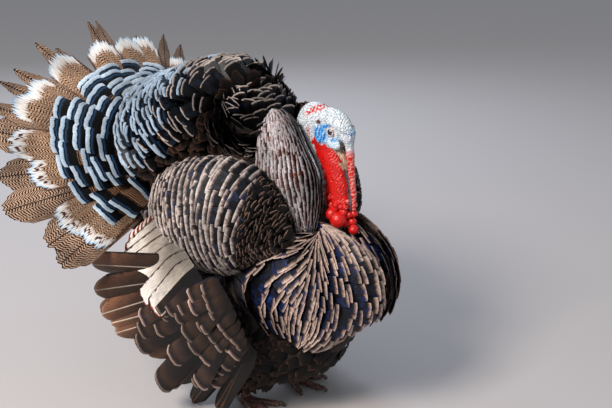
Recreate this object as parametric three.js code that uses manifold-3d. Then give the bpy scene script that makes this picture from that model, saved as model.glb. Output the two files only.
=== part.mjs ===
// Domestic turkey: a bronze tom that stands in full display, life size, as a still model with no joints.
// Millimetres, +Z up. The bird faces -Y, its left side is +X, and its toes and the tips of its lowered
// wings rest on the floor at z = 0.
// Every piece is a closed solid. A later piece in the list below is cut back from the earlier ones that
// it meets, so neighbours lie against each other with a thin cut between them.
import * as THREE from 'three';
import { mergeVertices } from 'three/addons/utils/BufferGeometryUtils.js';
import Module from 'manifold-3d';

const wasm = await Module();
wasm.setup();

// Driving dimensions.
const CUT = 0.3; // air left between two neighbouring pieces
const STANCE = 62; // half the distance between the feet
const TAIL = {
  base: new THREE.Vector3(0, 247, 440), // the root of the fan
  tilt: THREE.MathUtils.degToRad(43), // how far the fan leans back from upright
  sweep: 0.27, // how far its two sides curve back, as a share of their length
};
const QUILLS = { reach: 340, flare: 30, spread: 122, count: 18, notch: 30 }; // the tail feathers
const LONG_COVERTS = { reach: 300, flare: 0, spread: 119, count: 16, notch: 13 };
const SHORT_COVERTS = { reach: 232, flare: 0, spread: 116, count: 16, notch: 9 };
const PLATE = 3.6; // thickness of a layer of large feathers
const EYE_RADIUS = 6.3;

const UP = new THREE.Vector3(0, 0, 1);
const FORWARD = new THREE.Vector3(0, -1, 0);
const SIDES = [['left', 1], ['right', -1]];

const DARK = { color: '#2b2523', roughness: 0.6 };
const BRONZE = { color: '#5a4638', roughness: 0.45, metalness: 0.2 };
const PALE = { color: '#b9ada4', roughness: 0.6 };
const SKIN = { color: '#cfd8e0', roughness: 0.6 };
const RED = { color: '#c01c18', roughness: 0.35 };
const HORN = { color: '#8d7a68', roughness: 0.45 };
const LEG = { color: '#8a6a62', roughness: 0.6 };
const EYE = { color: '#1d0f0a', roughness: 0.1 };

// The triangles of a closed mesh, turned so that they face out.
function closed(points, triangles) {
  let volume = 0;
  for (const [a, b, c] of triangles) volume += points[a].dot(points[b].clone().cross(points[c]));
  const index = volume > 0 ? triangles : triangles.map(([a, b, c]) => [a, c, b]);
  const geometry = new THREE.BufferGeometry().setFromPoints(points);
  geometry.setIndex(index.flat());
  return geometry;
}

// A rounded body along a smooth spine. Its section is an oval of half width, height above the spine and
// depth below it. rounding shapes the two ends: 2 gives an egg, more gives blunter ends, and 0 keeps the
// sizes as listed. No point goes below the floor, so that what rests there has a flat underside, and none
// crosses the middle of the bird where a side is given.
function loft({ spine, sizes, rows = 8, columns = 12, up = UP, rounding = 0, side = 0 }) {
  const path = new THREE.CatmullRomCurve3(spine.map((p) => new THREE.Vector3(...p)), false, 'catmullrom');
  const size = new THREE.CatmullRomCurve3(sizes.map((p) => new THREE.Vector3(...p)), false, 'catmullrom');
  const points = [path.getPoint(0)];
  for (let i = 0; i <= rows; i++) {
    const t = (1 - Math.cos(Math.PI * (rounding ? (i + 0.5) / (rows + 1) : i / rows))) / 2;
    const along = path.getTangent(t);
    const across = new THREE.Vector3().crossVectors(along, up).normalize();
    const above = new THREE.Vector3().crossVectors(across, along);
    const full = rounding ? Math.sqrt(1 - Math.abs(2 * t - 1) ** rounding) : 1;
    const { x: width, y: height, z: depth } = size.getPoint(t).multiplyScalar(full);
    for (let j = 0; j < columns; j++) {
      const turn = (2 * Math.PI * j) / columns;
      const rise = Math.sin(turn) > 0 ? height : depth;
      const point = path.getPoint(t).addScaledVector(across, width * Math.cos(turn));
      point.addScaledVector(above, rise * Math.sin(turn));
      point.z = Math.max(point.z, 0);
      if (side) point.x = side * Math.max(side * point.x, CUT);
      points.push(point);
    }
  }
  points.push(path.getPoint(1));
  const triangles = [];
  const last = points.length - 1;
  for (let j = 0; j < columns; j++) {
    const k = (j + 1) % columns;
    triangles.push([0, 1 + k, 1 + j], [last, last - columns + j, last - columns + k]);
    for (let i = 0; i < rows; i++) {
      const [a, b] = [1 + i * columns, 1 + (i + 1) * columns];
      triangles.push([a + j, a + k, b + k], [a + j, b + k, b + j]);
    }
  }
  return closed(points, triangles);
}

// A thin layer: point(u, v, lift) gives its face at a share across, a share out, and a height above it.
function layer({ across, out, point }) {
  const points = [];
  for (const lift of [-PLATE / 2, PLATE / 2]) {
    for (let i = 0; i <= across; i++) {
      for (let j = 0; j <= out; j++) points.push(point(i / across, j / out, lift));
    }
  }
  const half = points.length / 2;
  const at = (i, j) => i * (out + 1) + j;
  const triangles = [];
  const wall = (a, b) => triangles.push([a, b, b + half], [a, b + half, a + half]);
  for (let i = 0; i < across; i++) {
    for (let j = 0; j < out; j++) {
      const [a, b, c, d] = [at(i, j), at(i + 1, j), at(i + 1, j + 1), at(i, j + 1)];
      triangles.push([a, c, b], [a, d, c], [a + half, b + half, c + half], [a + half, c + half, d + half]);
    }
    wall(at(i, 0), at(i + 1, 0));
    wall(at(i + 1, out), at(i, out));
  }
  for (let j = 0; j < out; j++) {
    wall(at(0, j + 1), at(0, j));
    wall(at(across, j), at(across, j + 1));
  }
  return closed(points, triangles);
}

// How far a row of feathers is cut back at a share across it: nothing at each tip, notch between two tips.
function indent(u, count, notch, sharpness) {
  const fromMiddle = Math.abs(2 * ((u * count) % 1) - 1);
  return notch * fromMiddle ** sharpness;
}

// One ring of the fan: a dish sector of feathers that stand out from the root of the tail. Those at the
// sides are longer by flare than the one in the middle.
function ring({ reach, flare, spread, count, notch }, { lift, inner, sharpness, perFeather }) {
  const half = THREE.MathUtils.degToRad(spread);
  const point = (u, v, rise) => {
    const turn = (2 * u - 1) * half;
    const outer = reach + flare * Math.sin(turn) ** 2 - indent(u, count, notch, sharpness);
    const far = THREE.MathUtils.lerp(inner, outer, v);
    const above = lift + rise;
    return new THREE.Vector3(
      far * Math.sin(turn),
      far * (Math.cos(turn) * Math.sin(TAIL.tilt) + TAIL.sweep * Math.sin(turn) ** 2)
        - above * Math.cos(TAIL.tilt),
      far * Math.cos(turn) * Math.cos(TAIL.tilt) + above * Math.sin(TAIL.tilt),
    ).add(TAIL.base);
  };
  return { across: count * perFeather, out: 1, point };
}

// A place beside the tail's axis: aside across it, along it up the fan, and ahead in front of the fan.
function beforeTail(aside, along, ahead) {
  return new THREE.Vector3(
    aside,
    along * Math.sin(TAIL.tilt) - ahead * Math.cos(TAIL.tilt),
    along * Math.cos(TAIL.tilt) + ahead * Math.sin(TAIL.tilt),
  ).add(TAIL.base).toArray();
}

// A row of wing feathers from a line of roots to a line of tips, bellied outwards by belly.
function wingRow({ side, roots, tips, count, notch, sharpness = 2, belly, perFeather = 2, out = 2 }) {
  const line = (points) => new THREE.CatmullRomCurve3(
    points.map(([x, y, z]) => new THREE.Vector3(side * x, y, z)), false, 'catmullrom');
  const [root, tip] = [line(roots), line(tips)];
  const point = (u, v, rise) => {
    const [from, to] = [root.getPoint(u), tip.getPoint(u)];
    const way = to.clone().sub(from);
    const length = way.length() - indent(u, count, notch, sharpness);
    const place = from.addScaledVector(way.normalize(), v * length);
    place.x += side * (belly * Math.sin(Math.PI * v) + rise);
    place.z = Math.max(place.z, 0);
    return place;
  };
  return { across: count * perFeather, out, point };
}

const pieces = [];
// A piece of several shapes is joined into one solid.
function piece(name, look, ...shapes) {
  const bare = (shape) => {
    const points = new THREE.BufferGeometry().setAttribute('position', shape.getAttribute('position'));
    return mergeVertices(points.setIndex(shape.index), 1e-3);
  };
  pieces.push({ name, look, shapes: shapes.map(bare) });
}

// Eyes, bill and the bare red parts of the face and throat.
for (const [name, side] of SIDES) {
  piece(`eye_${name}`, EYE, new THREE.SphereGeometry(EYE_RADIUS, 8, 6)
    .translate(side * 15, -165, 563));
}
piece('snood', RED, loft({
  spine: [[2, -182, 560], [4, -199, 546], [6, -200, 505], [7, -198, 465], [7, -199, 423]],
  sizes: [[7, 6, 6], [10, 8, 7], [8, 6, 6], [7, 5, 5], [5, 4, 4]],
  rows: 7, columns: 7, up: FORWARD, rounding: 12,
}));
piece('beak_upper', HORN, loft({
  spine: [[0, -152, 539], [0, -168, 528], [0, -181, 512], [0, -186, 497]],
  sizes: [[10, 9, 4], [8.5, 9, 3], [6, 7, 2.5], [1.5, 2, 1.5]],
  rows: 5, columns: 8,
}));
piece('beak_lower', HORN, loft({
  spine: [[0, -146, 529], [0, -160, 518], [0, -173, 504], [0, -178, 497]],
  sizes: [[9, 3, 6], [7.5, 3, 6], [5, 2.5, 4], [1.5, 1, 1]],
  rows: 5, columns: 8,
}));
const BEADS = [
  [-14, -171, 421, 9], [-9, -185, 411, 12.5], [10, -178, 412, 11], [4, -195, 397, 8.5], [8, -201, 384, 9.5],
  [13, -196, 410, 8],
];
piece('caruncles', RED, ...BEADS.map(([x, y, z, radius]) =>
  new THREE.SphereGeometry(radius, 7, 5).translate(x, y, z)));
piece('wattle', RED, loft({
  spine: [[0, -142, 536], [0, -150, 500], [0, -160, 465], [0, -168, 437], [0, -172, 418]],
  sizes: [[14, 22, 30], [18, 27, 44], [18, 24, 34], [16, 20, 26], [11, 14, 16]],
  rows: 6, columns: 10, up: FORWARD, rounding: 10,
}));
piece('head', SKIN, loft({
  spine: [[0, -200, 561], [0, -180, 560], [0, -152, 562], [0, -120, 564], [0, -86, 550]],
  sizes: [[11, 13, 14], [17, 29, 26], [20, 41, 34], [22, 43, 42], [17, 32, 34]],
  rows: 6, columns: 10, rounding: 5,
}));
piece('neck', SKIN, loft({
  spine: [[0, -112, 515], [0, -118, 470], [0, -122, 430], [0, -120, 395], [0, -105, 360]],
  sizes: [[18, 24, 24], [21, 26, 22], [24, 26, 24], [28, 28, 26], [34, 34, 34]],
  rows: 5, columns: 10, up: FORWARD,
}));

// The trunk, which everything else is set on.
piece('trunk', DARK, loft({
  spine: [[0, -215, 310], [0, -130, 318], [0, -30, 325], [0, 80, 345], [0, 180, 385], [0, 250, 412]],
  sizes: [[70, 60, 70], [90, 80, 110], [112, 170, 140], [120, 170, 160], [110, 100, 130], [66, 40, 66]],
  rows: 6, columns: 12, rounding: 8,
}));

// The tail: the stump that holds it, and from the quills forward the fan, its long and its short coverts.
piece('tail_root', DARK, loft({
  spine: [beforeTail(0, -14, -62), beforeTail(0, 0, 0), beforeTail(0, 0, 16)],
  sizes: [[58, 46, 46], [69, 69, 60], [69, 69, 60]],
  rows: 4, columns: 12, rounding: 5,
}));
piece('tail_quills', BRONZE, layer(ring(QUILLS,
  { lift: 0, inner: 72, sharpness: 1.4, perFeather: 3 })));
piece('tail_coverts_long', PALE, layer(ring(LONG_COVERTS,
  { lift: PLATE + 2 * CUT, inner: 72, sharpness: 2, perFeather: 2 })));
piece('tail_coverts_short', DARK, layer(ring(SHORT_COVERTS,
  { lift: 2 * (PLATE + 2 * CUT), inner: 72, sharpness: 2, perFeather: 2 })));

// The shoulders and the wings: each hangs half open beside the body, and the longest quills of the hand
// drag on the floor, where they are flattened a little.
for (const [name, side] of SIDES) {
  piece(`shoulder_${name}`, DARK, loft({
    spine: [[side * 88, -150, 384], [side * 114, -52, 412], [side * 122, 60, 402], [side * 100, 178, 368]],
    sizes: [[28, 44, 52], [62, 94, 104], [68, 92, 108], [54, 70, 74]],
    rows: 6, columns: 12, rounding: 3,
  }));
  piece(`wing_primaries_${name}`, DARK, layer(wingRow({
    side,
    roots: [[158, -75, 215], [154, -95, 205], [150, -112, 190]],
    tips: [[152, 112, 66], [126, 92, 4], [110, 60, -4], [116, 6, 22]],
    count: 7, notch: 26, belly: 10, sharpness: 1.6, perFeather: 3,
  })));
  piece(`wing_secondaries_${name}`, BRONZE, layer(wingRow({
    side,
    roots: [[172, 10, 310], [170, -25, 280], [166, -55, 240]],
    tips: [[225, 240, 275], [228, 222, 205], [214, 186, 150], [186, 124, 116]],
    count: 9, notch: 10, belly: 8,
  })));
  piece(`wing_coverts_${name}`, DARK, layer(wingRow({
    side,
    roots: [[180, -60, 322], [178, -95, 280], [168, -118, 222]],
    tips: [[204, 110, 200], [202, 118, 110], [184, 66, 78], [176, -40, 118]],
    count: 7, notch: 9, belly: 12,
  })));
  piece(`wing_tertials_${name}`, PALE, layer(wingRow({
    side,
    roots: [[160, 92, 420], [182, 30, 360], [188, -30, 310]],
    tips: [[184, 172, 366], [196, 163, 285], [203, 112, 232], [198, 40, 234]],
    count: 5, notch: 10, belly: 0, out: 1,
  })));
}

// The neck's cape, puffed out in a lobe on each side of the throat, and the two lobes of the breast.
for (const [name, side] of SIDES) {
  piece(`cape_${name}`, BRONZE, loft({
    spine: [[side * 30, -66, 590], [side * 30, -80, 538], [side * 32, -92, 470], [side * 42, -122, 378]],
    sizes: [[30, 34, 36], [33, 44, 42], [38, 68, 50], [42, 52, 50]],
    rows: 6, columns: 10, up: FORWARD, rounding: 3.2, side,
  }));
  piece(`breast_${name}`, DARK, loft({
    spine: [[side * 24, -272, 262], [side * 35, -208, 284], [side * 52, -110, 288], [side * 78, 20, 280]],
    sizes: [[36, 60, 68], [56, 102, 110], [74, 120, 144], [76, 110, 150]],
    rows: 7, columns: 12, rounding: 3, side,
  }));
}

// Legs and feet. The toes lie flat on the floor; each claw is a piece of its own.
const TOES = [
  { name: 'inner', turn: -28, length: 62 },
  { name: 'middle', turn: 4, length: 82 },
  { name: 'outer', turn: 36, length: 66 },
  { name: 'hind', turn: 196, length: 34 },
];
const TOE_WIDTH = 7;
const CLAW_LENGTH = 15;
// A place on the floor by the foot: far out from its middle in the direction turn, from straight ahead.
function fromFoot(side, turn, far, height) {
  const angle = THREE.MathUtils.degToRad(turn);
  return [side * (STANCE + far * Math.sin(angle)), -far * Math.cos(angle), height];
}
for (const [name, side] of SIDES) {
  for (const { name: toe, turn, length } of TOES) {
    piece(`claw_${name}_${toe}`, HORN, loft({
      spine: [
        fromFoot(side, turn, length + 0.5, 5.5),
        fromFoot(side, turn, length + CLAW_LENGTH / 2, 5.5),
        fromFoot(side, turn, length + CLAW_LENGTH, 1.6),
      ],
      sizes: [[3.6, 3.2, 3.2], [3, 2.4, 2.6], [0.8, 0.7, 0.7]],
      rows: 2, columns: 6,
    }));
  }
  const toes = TOES.map(({ turn, length }) => loft({
    spine: [
      fromFoot(side, turn, 0, 8),
      fromFoot(side, turn, length * 0.5, 5.5),
      fromFoot(side, turn, length, 5),
    ],
    sizes: [[9, 8, 12], [TOE_WIDTH, 6, 9], [TOE_WIDTH - 1, 5, 8]],
    rows: 2, columns: 6, rounding: 14,
  }));
  const pad = loft({
    spine: [fromFoot(side, 0, 20, 7), fromFoot(side, 0, -12, 7)],
    sizes: [[15, 7, 12], [13, 9, 12]],
    rows: 3, columns: 8, rounding: 4,
  });
  piece(`foot_${name}`, LEG, pad, ...toes);
  piece(`spur_${name}`, HORN, loft({
    spine: [[side * 58, 8, 62], [side * 53, 22, 64], [side * 50, 33, 70]],
    sizes: [[6, 6, 6], [4, 4, 4], [0.8, 0.8, 0.8]],
    rows: 3, columns: 6,
  }));
  piece(`shank_${name}`, LEG, loft({
    spine: [[side * STANCE, 3, 16.5], [side * 63, 10, 60], [side * 66, 26, 138]],
    sizes: [[9, 10, 10], [7.5, 9, 9], [11, 13, 13]],
    rows: 4, columns: 8, up: FORWARD,
  }));
  piece(`thigh_${name}`, DARK, loft({
    spine: [[side * 78, -40, 250], [side * 80, -18, 168], [side * 72, 2, 88], [side * 68, 6, 36]],
    sizes: [[66, 80, 80], [66, 84, 88], [50, 66, 66], [32, 40, 40]],
    rows: 4, columns: 8, up: FORWARD, rounding: 8,
  }));
}

// The raised back, the belly's down and the feathers under the tail.
piece('back_crest', DARK, loft({
  spine: [beforeTail(0, 4, 22), beforeTail(0, 4, 120), beforeTail(0, 0, 215), beforeTail(0, -30, 318)],
  sizes: [[176, 162, 150], [140, 124, 130], [112, 82, 110], [74, 32, 60]],
  rows: 6, columns: 14, rounding: 9,
}));
piece('belly', DARK, loft({
  spine: [[0, -190, 178], [0, -70, 150], [0, 50, 156], [0, 170, 225]],
  sizes: [[80, 50, 50], [124, 80, 92], [128, 90, 98], [92, 74, 70]],
  rows: 4, columns: 10, rounding: 4,
}));
piece('undertail', DARK, loft({
  spine: [[0, 120, 260], [0, 220, 300], [0, 290, 350], [0, 330, 420]],
  sizes: [[90, 60, 60], [110, 70, 60], [96, 60, 44], [60, 30, 24]],
  rows: 4, columns: 10, rounding: 5,
}));

// A closed mesh with nothing but its points, each held once, as a solid that can be cut and joined.
function solid(geometry) {
  return new wasm.Manifold(new wasm.Mesh({
    numProp: 3,
    vertProperties: geometry.getAttribute('position').array,
    triVerts: new Uint32Array(geometry.index.array),
  }));
}

// The same mesh with every face moved out, so that what it cuts stands clear of it by about CUT.
function grown(geometry) {
  const bigger = geometry.clone();
  const position = bigger.getAttribute('position');
  const facing = Array.from({ length: position.count }, () => []); // the way each face at a point looks
  for (let i = 0; i < bigger.index.count; i += 3) {
    const corners = [0, 1, 2].map((k) => bigger.index.getX(i + k));
    const [a, b, c] = corners.map((corner) => new THREE.Vector3().fromBufferAttribute(position, corner));
    const normal = b.sub(a).cross(c.sub(a)).normalize();
    for (const corner of corners) {
      if (!facing[corner].some((known) => known.dot(normal) > 0.99)) facing[corner].push(normal);
    }
  }
  facing.forEach((normals, i) => {
    const out = normals.reduce((sum, normal) => sum.add(normal), new THREE.Vector3()).normalize();
    const share = Math.max(0.3, Math.min(...normals.map((normal) => normal.dot(out))));
    const point = new THREE.Vector3().fromBufferAttribute(position, i).addScaledVector(out, 1.3 * CUT / share);
    position.setXYZ(i, point.x, point.y, point.z);
  });
  return bigger;
}

// The largest connected body of a cut solid, without the slivers that a cut can leave beside it.
function largestBody(cut) {
  const { vertProperties, triVerts } = cut.getMesh();
  const geometry = new THREE.BufferGeometry();
  geometry.setAttribute('position', new THREE.BufferAttribute(vertProperties, 3));
  geometry.setIndex(new THREE.BufferAttribute(triVerts, 1));
  const merged = mergeVertices(geometry, 1e-3);
  const position = merged.getAttribute('position');
  const parent = Array.from({ length: position.count }, (_, i) => i);
  const rootOf = (i) => {
    while (parent[i] !== i) i = parent[i] = parent[parent[i]];
    return i;
  };
  const faces = [];
  for (let i = 0; i < merged.index.count; i += 3) {
    const face = [0, 1, 2].map((k) => merged.index.getX(i + k));
    if (new Set(face).size < 3) continue;
    parent[rootOf(face[1])] = parent[rootOf(face[2])] = rootOf(face[0]);
    faces.push(face);
  }
  const volumes = new Map();
  const corner = (i) => new THREE.Vector3().fromBufferAttribute(position, i);
  for (const [a, b, c] of faces) {
    const body = rootOf(a);
    volumes.set(body, (volumes.get(body) ?? 0) + corner(a).dot(corner(b).cross(corner(c))));
  }
  const [largest] = [...volumes].reduce((best, entry) => (entry[1] > best[1] ? entry : best));
  merged.setIndex(faces.filter(([a]) => rootOf(a) === largest).flat());
  return mergeVertices(merged.toNonIndexed(), 1e-3);
}

const joined = (shapes) => shapes.map(solid).reduce((a, b) => a.add(b));
const turkey = new THREE.Group();
const whole = new THREE.Box3();
const cutters = []; // the grown solid of each piece made so far, and its box
for (const { name, look, shapes } of pieces) {
  const box = new THREE.Box3();
  for (const shape of shapes) {
    shape.computeBoundingBox();
    box.union(shape.boundingBox);
  }
  const cut = cutters.filter((cutter) => cutter.box.intersectsBox(box))
    .reduce((rest, cutter) => rest.subtract(cutter.body), joined(shapes));
  cutters.push({ box: box.clone().expandByScalar(5 * CUT), body: joined(shapes.map(grown)) });
  const mesh = new THREE.Mesh(largestBody(cut), new THREE.MeshStandardMaterial(look));
  mesh.geometry.computeBoundingBox();
  whole.union(mesh.geometry.boundingBox);
  mesh.name = name;
  turkey.add(mesh);
}

// The origin is on the floor, under the middle of the whole bird.
const middle = whole.getCenter(new THREE.Vector3());
for (const mesh of turkey.children) mesh.geometry.translate(-middle.x, -middle.y, -whole.min.z);

export default turkey;
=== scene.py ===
import math
import bpy
import numpy as np
import openvdb
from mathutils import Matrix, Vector
from mathutils.bvhtree import BVHTree


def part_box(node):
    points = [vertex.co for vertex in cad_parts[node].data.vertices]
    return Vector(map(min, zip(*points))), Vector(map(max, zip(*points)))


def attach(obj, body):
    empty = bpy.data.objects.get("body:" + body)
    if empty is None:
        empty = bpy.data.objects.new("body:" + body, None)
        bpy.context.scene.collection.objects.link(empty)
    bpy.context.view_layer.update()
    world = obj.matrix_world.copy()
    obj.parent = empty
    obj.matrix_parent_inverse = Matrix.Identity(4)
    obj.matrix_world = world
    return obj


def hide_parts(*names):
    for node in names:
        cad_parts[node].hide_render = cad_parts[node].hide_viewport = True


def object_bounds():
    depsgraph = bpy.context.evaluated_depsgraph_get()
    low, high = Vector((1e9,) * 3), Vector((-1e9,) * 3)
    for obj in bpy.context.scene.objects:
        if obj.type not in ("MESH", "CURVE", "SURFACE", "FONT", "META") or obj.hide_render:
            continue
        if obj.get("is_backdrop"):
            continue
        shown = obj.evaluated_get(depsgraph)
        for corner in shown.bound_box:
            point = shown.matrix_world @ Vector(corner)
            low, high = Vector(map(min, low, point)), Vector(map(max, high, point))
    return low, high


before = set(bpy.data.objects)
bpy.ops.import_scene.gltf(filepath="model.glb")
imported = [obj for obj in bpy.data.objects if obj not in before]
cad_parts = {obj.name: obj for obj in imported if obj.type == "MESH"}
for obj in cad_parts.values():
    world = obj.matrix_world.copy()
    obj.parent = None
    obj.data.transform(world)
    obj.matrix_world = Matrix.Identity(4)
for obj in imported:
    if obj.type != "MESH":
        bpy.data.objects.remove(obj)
cad_box = [list(corner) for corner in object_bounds()]

# ---------------------------------------------------------------------------------------------
# The studio: a pale floor that is one sheet of matt paper, a large soft light high in front of the
# bird on its right, a weaker one behind it, and a pale sky all round.
# ---------------------------------------------------------------------------------------------
MM = 0.001
# from mm about the middle between the feet, where the eye is at y -165 and z 563, to the shared frame
eye_low, eye_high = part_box("eye_right")
SHIFT = Vector((0, (eye_low.y + eye_high.y) / 2 + 165 * MM, (eye_low.z + eye_high.z) / 2 - 563 * MM))


def linear(code, alpha=1.0):
    """A colour written as sRGB hex, as the linear light Blender works in."""
    parts = [int(code[i:i + 2], 16) / 255 for i in (1, 3, 5)]
    return tuple(c / 12.92 if c <= 0.04045 else ((c + 0.055) / 1.055) ** 2.4 for c in parts) + (alpha,)


def material(name):
    """A new material, its node tree and its shader."""
    made = bpy.data.materials.new(name)
    made.use_nodes = True
    return made, made.node_tree, made.node_tree.nodes["Principled BSDF"]


def mesh_object(name, points, faces, look):
    """A smooth mesh object at the origin, with one material."""
    mesh = bpy.data.meshes.new(name)
    mesh.from_pydata([tuple(p) for p in points], [], [tuple(f) for f in faces])
    mesh.polygons.foreach_set("use_smooth", [True] * len(mesh.polygons))
    mesh.materials.append(look)
    made = bpy.data.objects.new(name, mesh)
    bpy.context.scene.collection.objects.link(made)
    return made


# Matt paper: uncoated, so it shows soft shadows and no gloss.
paper, tree, shader = material("matt_paper")
shader.inputs["Base Color"].default_value = linear("#b9b4b2")
shader.inputs["Roughness"].default_value = 0.9
EDGE = 30  # metres from the middle of the floor
floor = mesh_object("floor", [(-EDGE, -EDGE, 0), (EDGE, -EDGE, 0), (EDGE, EDGE, 0), (-EDGE, EDGE, 0)],
                    [(0, 1, 2, 3)], paper)
floor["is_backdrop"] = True

world = bpy.data.worlds.new("sky")
world.use_nodes = True
world.node_tree.nodes["Background"].inputs["Color"].default_value = linear("#dfe6f0")
world.node_tree.nodes["Background"].inputs["Strength"].default_value = 0.5
bpy.context.scene.world = world
bpy.context.scene.view_settings.view_transform = "Standard"


def soft_light(name, place, target, size, watts, colour):
    """A square cloth-covered lamp, size metres wide, that faces the target."""
    lamp = bpy.data.lights.new(name, "AREA")
    lamp.size = size
    lamp.energy = watts
    lamp.color = linear(colour)[:3]
    made = bpy.data.objects.new(name, lamp)
    made.location = place
    made.rotation_euler = (Vector(target) - Vector(place)).to_track_quat("-Z", "Y").to_euler()
    bpy.context.scene.collection.objects.link(made)


soft_light("key_light", (-2.5, -0.2, 2.5), (0, 0, 0.4), size=1.0, watts=125, colour="#fff6ee")
soft_light("back_light", (1.6, 2.2, 2.2), (0, 0, 0.4), size=1.6, watts=50, colour="#dfeaff")

SENSOR = 36  # mm wide
FRAME_WIDTH = 612  # pixels
LENS_REACH = 900  # pixels from the lens to the frame
camera_data = bpy.data.cameras.new("camera")
camera_data.lens = SENSOR * LENS_REACH / FRAME_WIDTH
camera_data.sensor_width = SENSOR
camera = bpy.data.objects.new("camera", camera_data)
camera.location = Vector((-1.189, -1.0706, 0.93)) + SHIFT
camera.rotation_euler = Vector((0.73426, 0.60015, -0.31730)).to_track_quat("-Z", "Y").to_euler()
bpy.context.scene.collection.objects.link(camera)
bpy.context.scene.camera = camera

# ---------------------------------------------------------------------------------------------
# The skin: one soft hide over trunk, lobes, legs, neck and head. On the body it is the dark down next
# to the skin, and lies below the feathers by the depth of the coat.
# ---------------------------------------------------------------------------------------------
COAT = 12  # mm of feathers over the skin of the body
UP = (0, 0, 1)
FORWARD = (0, -1, 0)
TAIL_BASE = np.array([0, 247, 440.0])  # the root of the fan
TAIL_TILT = math.radians(43)  # how far the fan leans back from upright
TAIL_SWEEP = 0.27  # how far its sides bend back, as a share of their length


def unit(v):
    """The same directions, one long."""
    return v / np.maximum(np.linalg.norm(v, axis=-1, keepdims=True), 1e-9)


def before_tail(aside, along, ahead):
    """A point beside the tail's axis: aside across it, along it up the fan, ahead in front of it."""
    return TAIL_BASE + np.array([
        aside,
        along * math.sin(TAIL_TILT) - ahead * math.cos(TAIL_TILT),
        along * math.cos(TAIL_TILT) + ahead * math.sin(TAIL_TILT),
    ])


def curve_at(points, share):
    """A smooth curve through the points, at each share of its way."""
    points = np.asarray(points, float)
    held = np.vstack([2 * points[0] - points[1], points, 2 * points[-1] - points[-2]])
    spans = len(points) - 1
    place = np.clip(share, 0, 1) * spans
    first = np.minimum(place.astype(int), spans - 1)
    f = (place - first)[:, None]
    a, b, c, d = (held[first + k] for k in range(4))
    bend = (2 * a - 5 * b + 4 * c - d) * f ** 2
    return 0.5 * (2 * b + (c - a) * f + bend + (3 * b - a - 3 * c + d) * f ** 3)


class Form:
    """A rounded body along a smooth spine, its half sizes to the side, up and down given at each point.
    place(share, turn) is a point of its surface, depth mm below it. A halved one keeps to its side."""

    def __init__(self, spine, sizes, up=UP, rounding=3.0, coat=COAT, side=1, halved=False):
        self.spine = np.array(spine, float) * (side, 1, 1)
        self.sizes = np.array(sizes, float)
        self.up, self.rounding, self.coat = np.array(up, float), rounding, coat
        self.side, self.halved = side, halved

    def place(self, share, turn, depth=0.0):
        share, turn = np.broadcast_arrays(np.asarray(share, float), np.asarray(turn, float))
        shape = share.shape
        share, turn = share.ravel(), turn.ravel()
        step = 1e-3
        along = unit(curve_at(self.spine, np.minimum(share + step, 1))
                     - curve_at(self.spine, np.maximum(share - step, 0)))
        across = unit(np.cross(along, self.up))
        above = np.cross(across, along)
        full = np.sqrt(np.clip(1 - np.abs(2 * share - 1) ** self.rounding, 0, 1))
        size = np.maximum(curve_at(self.sizes, share) - depth, 4) * full[:, None]
        rise = np.where(np.sin(turn) > 0, size[:, 1], size[:, 2])
        out = across * (size[:, 0] * np.cos(turn))[:, None] + above * (rise * np.sin(turn))[:, None]
        points = curve_at(self.spine, share) + out
        if self.halved:
            points[:, 0] = self.side * np.maximum(self.side * points[:, 0], 0.3)
        return points.reshape(shape + (3,))

    def mesh(self, depth=0.0, rows=28, columns=36):
        """Its closed surface as points and faces."""
        shares = (1 - np.cos(np.linspace(0.03, 0.97, rows) * np.pi)) / 2
        turns = np.linspace(0, 2 * np.pi, columns, endpoint=False)
        ring = self.place(shares[:, None], turns[None, :], depth).reshape(-1, 3)
        points = np.vstack([ring, ring[:columns].mean(0), ring[-columns:].mean(0)])
        first, last = len(points) - 2, len(points) - 1
        faces = []
        for j in range(columns):
            k = (j + 1) % columns
            faces += [(first, k, j), (last, last - 1 - columns + j, last - 1 - columns + k)]
            for i in range(rows - 1):
                a, b = i * columns, (i + 1) * columns
                faces.append((a + j, a + k, b + k, b + j))
        volume = sum(np.dot(points[f[0]], np.cross(points[f[1]], points[f[2]])) for f in faces)
        return points, faces if volume > 0 else [face[::-1] for face in faces]


def pair(*details, **more):
    """The same form on both sides."""
    return {side: Form(*details, side=sign, **more) for side, sign in (("left", 1), ("right", -1))}


def sided(points, side):
    """Points given for the left side, on the side wanted."""
    return [(side * x, y, z) for x, y, z in points]


# trunk, lobes and the heaps of feathers that stand on them, in mm
TRUNK = Form([(0, -215, 310), (0, -130, 318), (0, -30, 325), (0, 80, 345), (0, 180, 385), (0, 250, 412)],
             [(70, 60, 70), (90, 80, 110), (112, 170, 140), (120, 170, 160), (110, 100, 130), (66, 40, 66)],
             rounding=8)
SHOULDERS = pair([(88, -150, 384), (114, -52, 412), (122, 60, 402), (100, 178, 368)],
                 [(28, 44, 52), (62, 94, 104), (68, 92, 108), (54, 70, 74)], rounding=3)
CAPES = pair([(30, -66, 590), (30, -80, 538), (34, -95, 468), (44, -134, 354)],
             [(30, 34, 48), (36, 44, 62), (43, 68, 74), (46, 52, 70)], up=FORWARD, rounding=3.2, coat=26,
             halved=True)
BREASTS = pair([(24, -272, 262), (35, -208, 284), (52, -110, 288), (78, 20, 280)],
               [(36, 60, 68), (56, 102, 110), (74, 120, 144), (76, 110, 150)], rounding=3, halved=True)
THIGHS = pair([(78, -40, 250), (80, -18, 168), (72, 2, 88), (68, 6, 36)],
              [(66, 80, 80), (66, 84, 88), (50, 66, 66), (32, 40, 40)], up=FORWARD, rounding=8)
CREST = Form([before_tail(0, 4, 22), before_tail(0, 4, 120), before_tail(0, 0, 215),
              before_tail(0, -30, 318)],
             [(176, 162, 150), (140, 124, 130), (112, 82, 110), (74, 32, 60)], rounding=9, coat=34)
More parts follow.
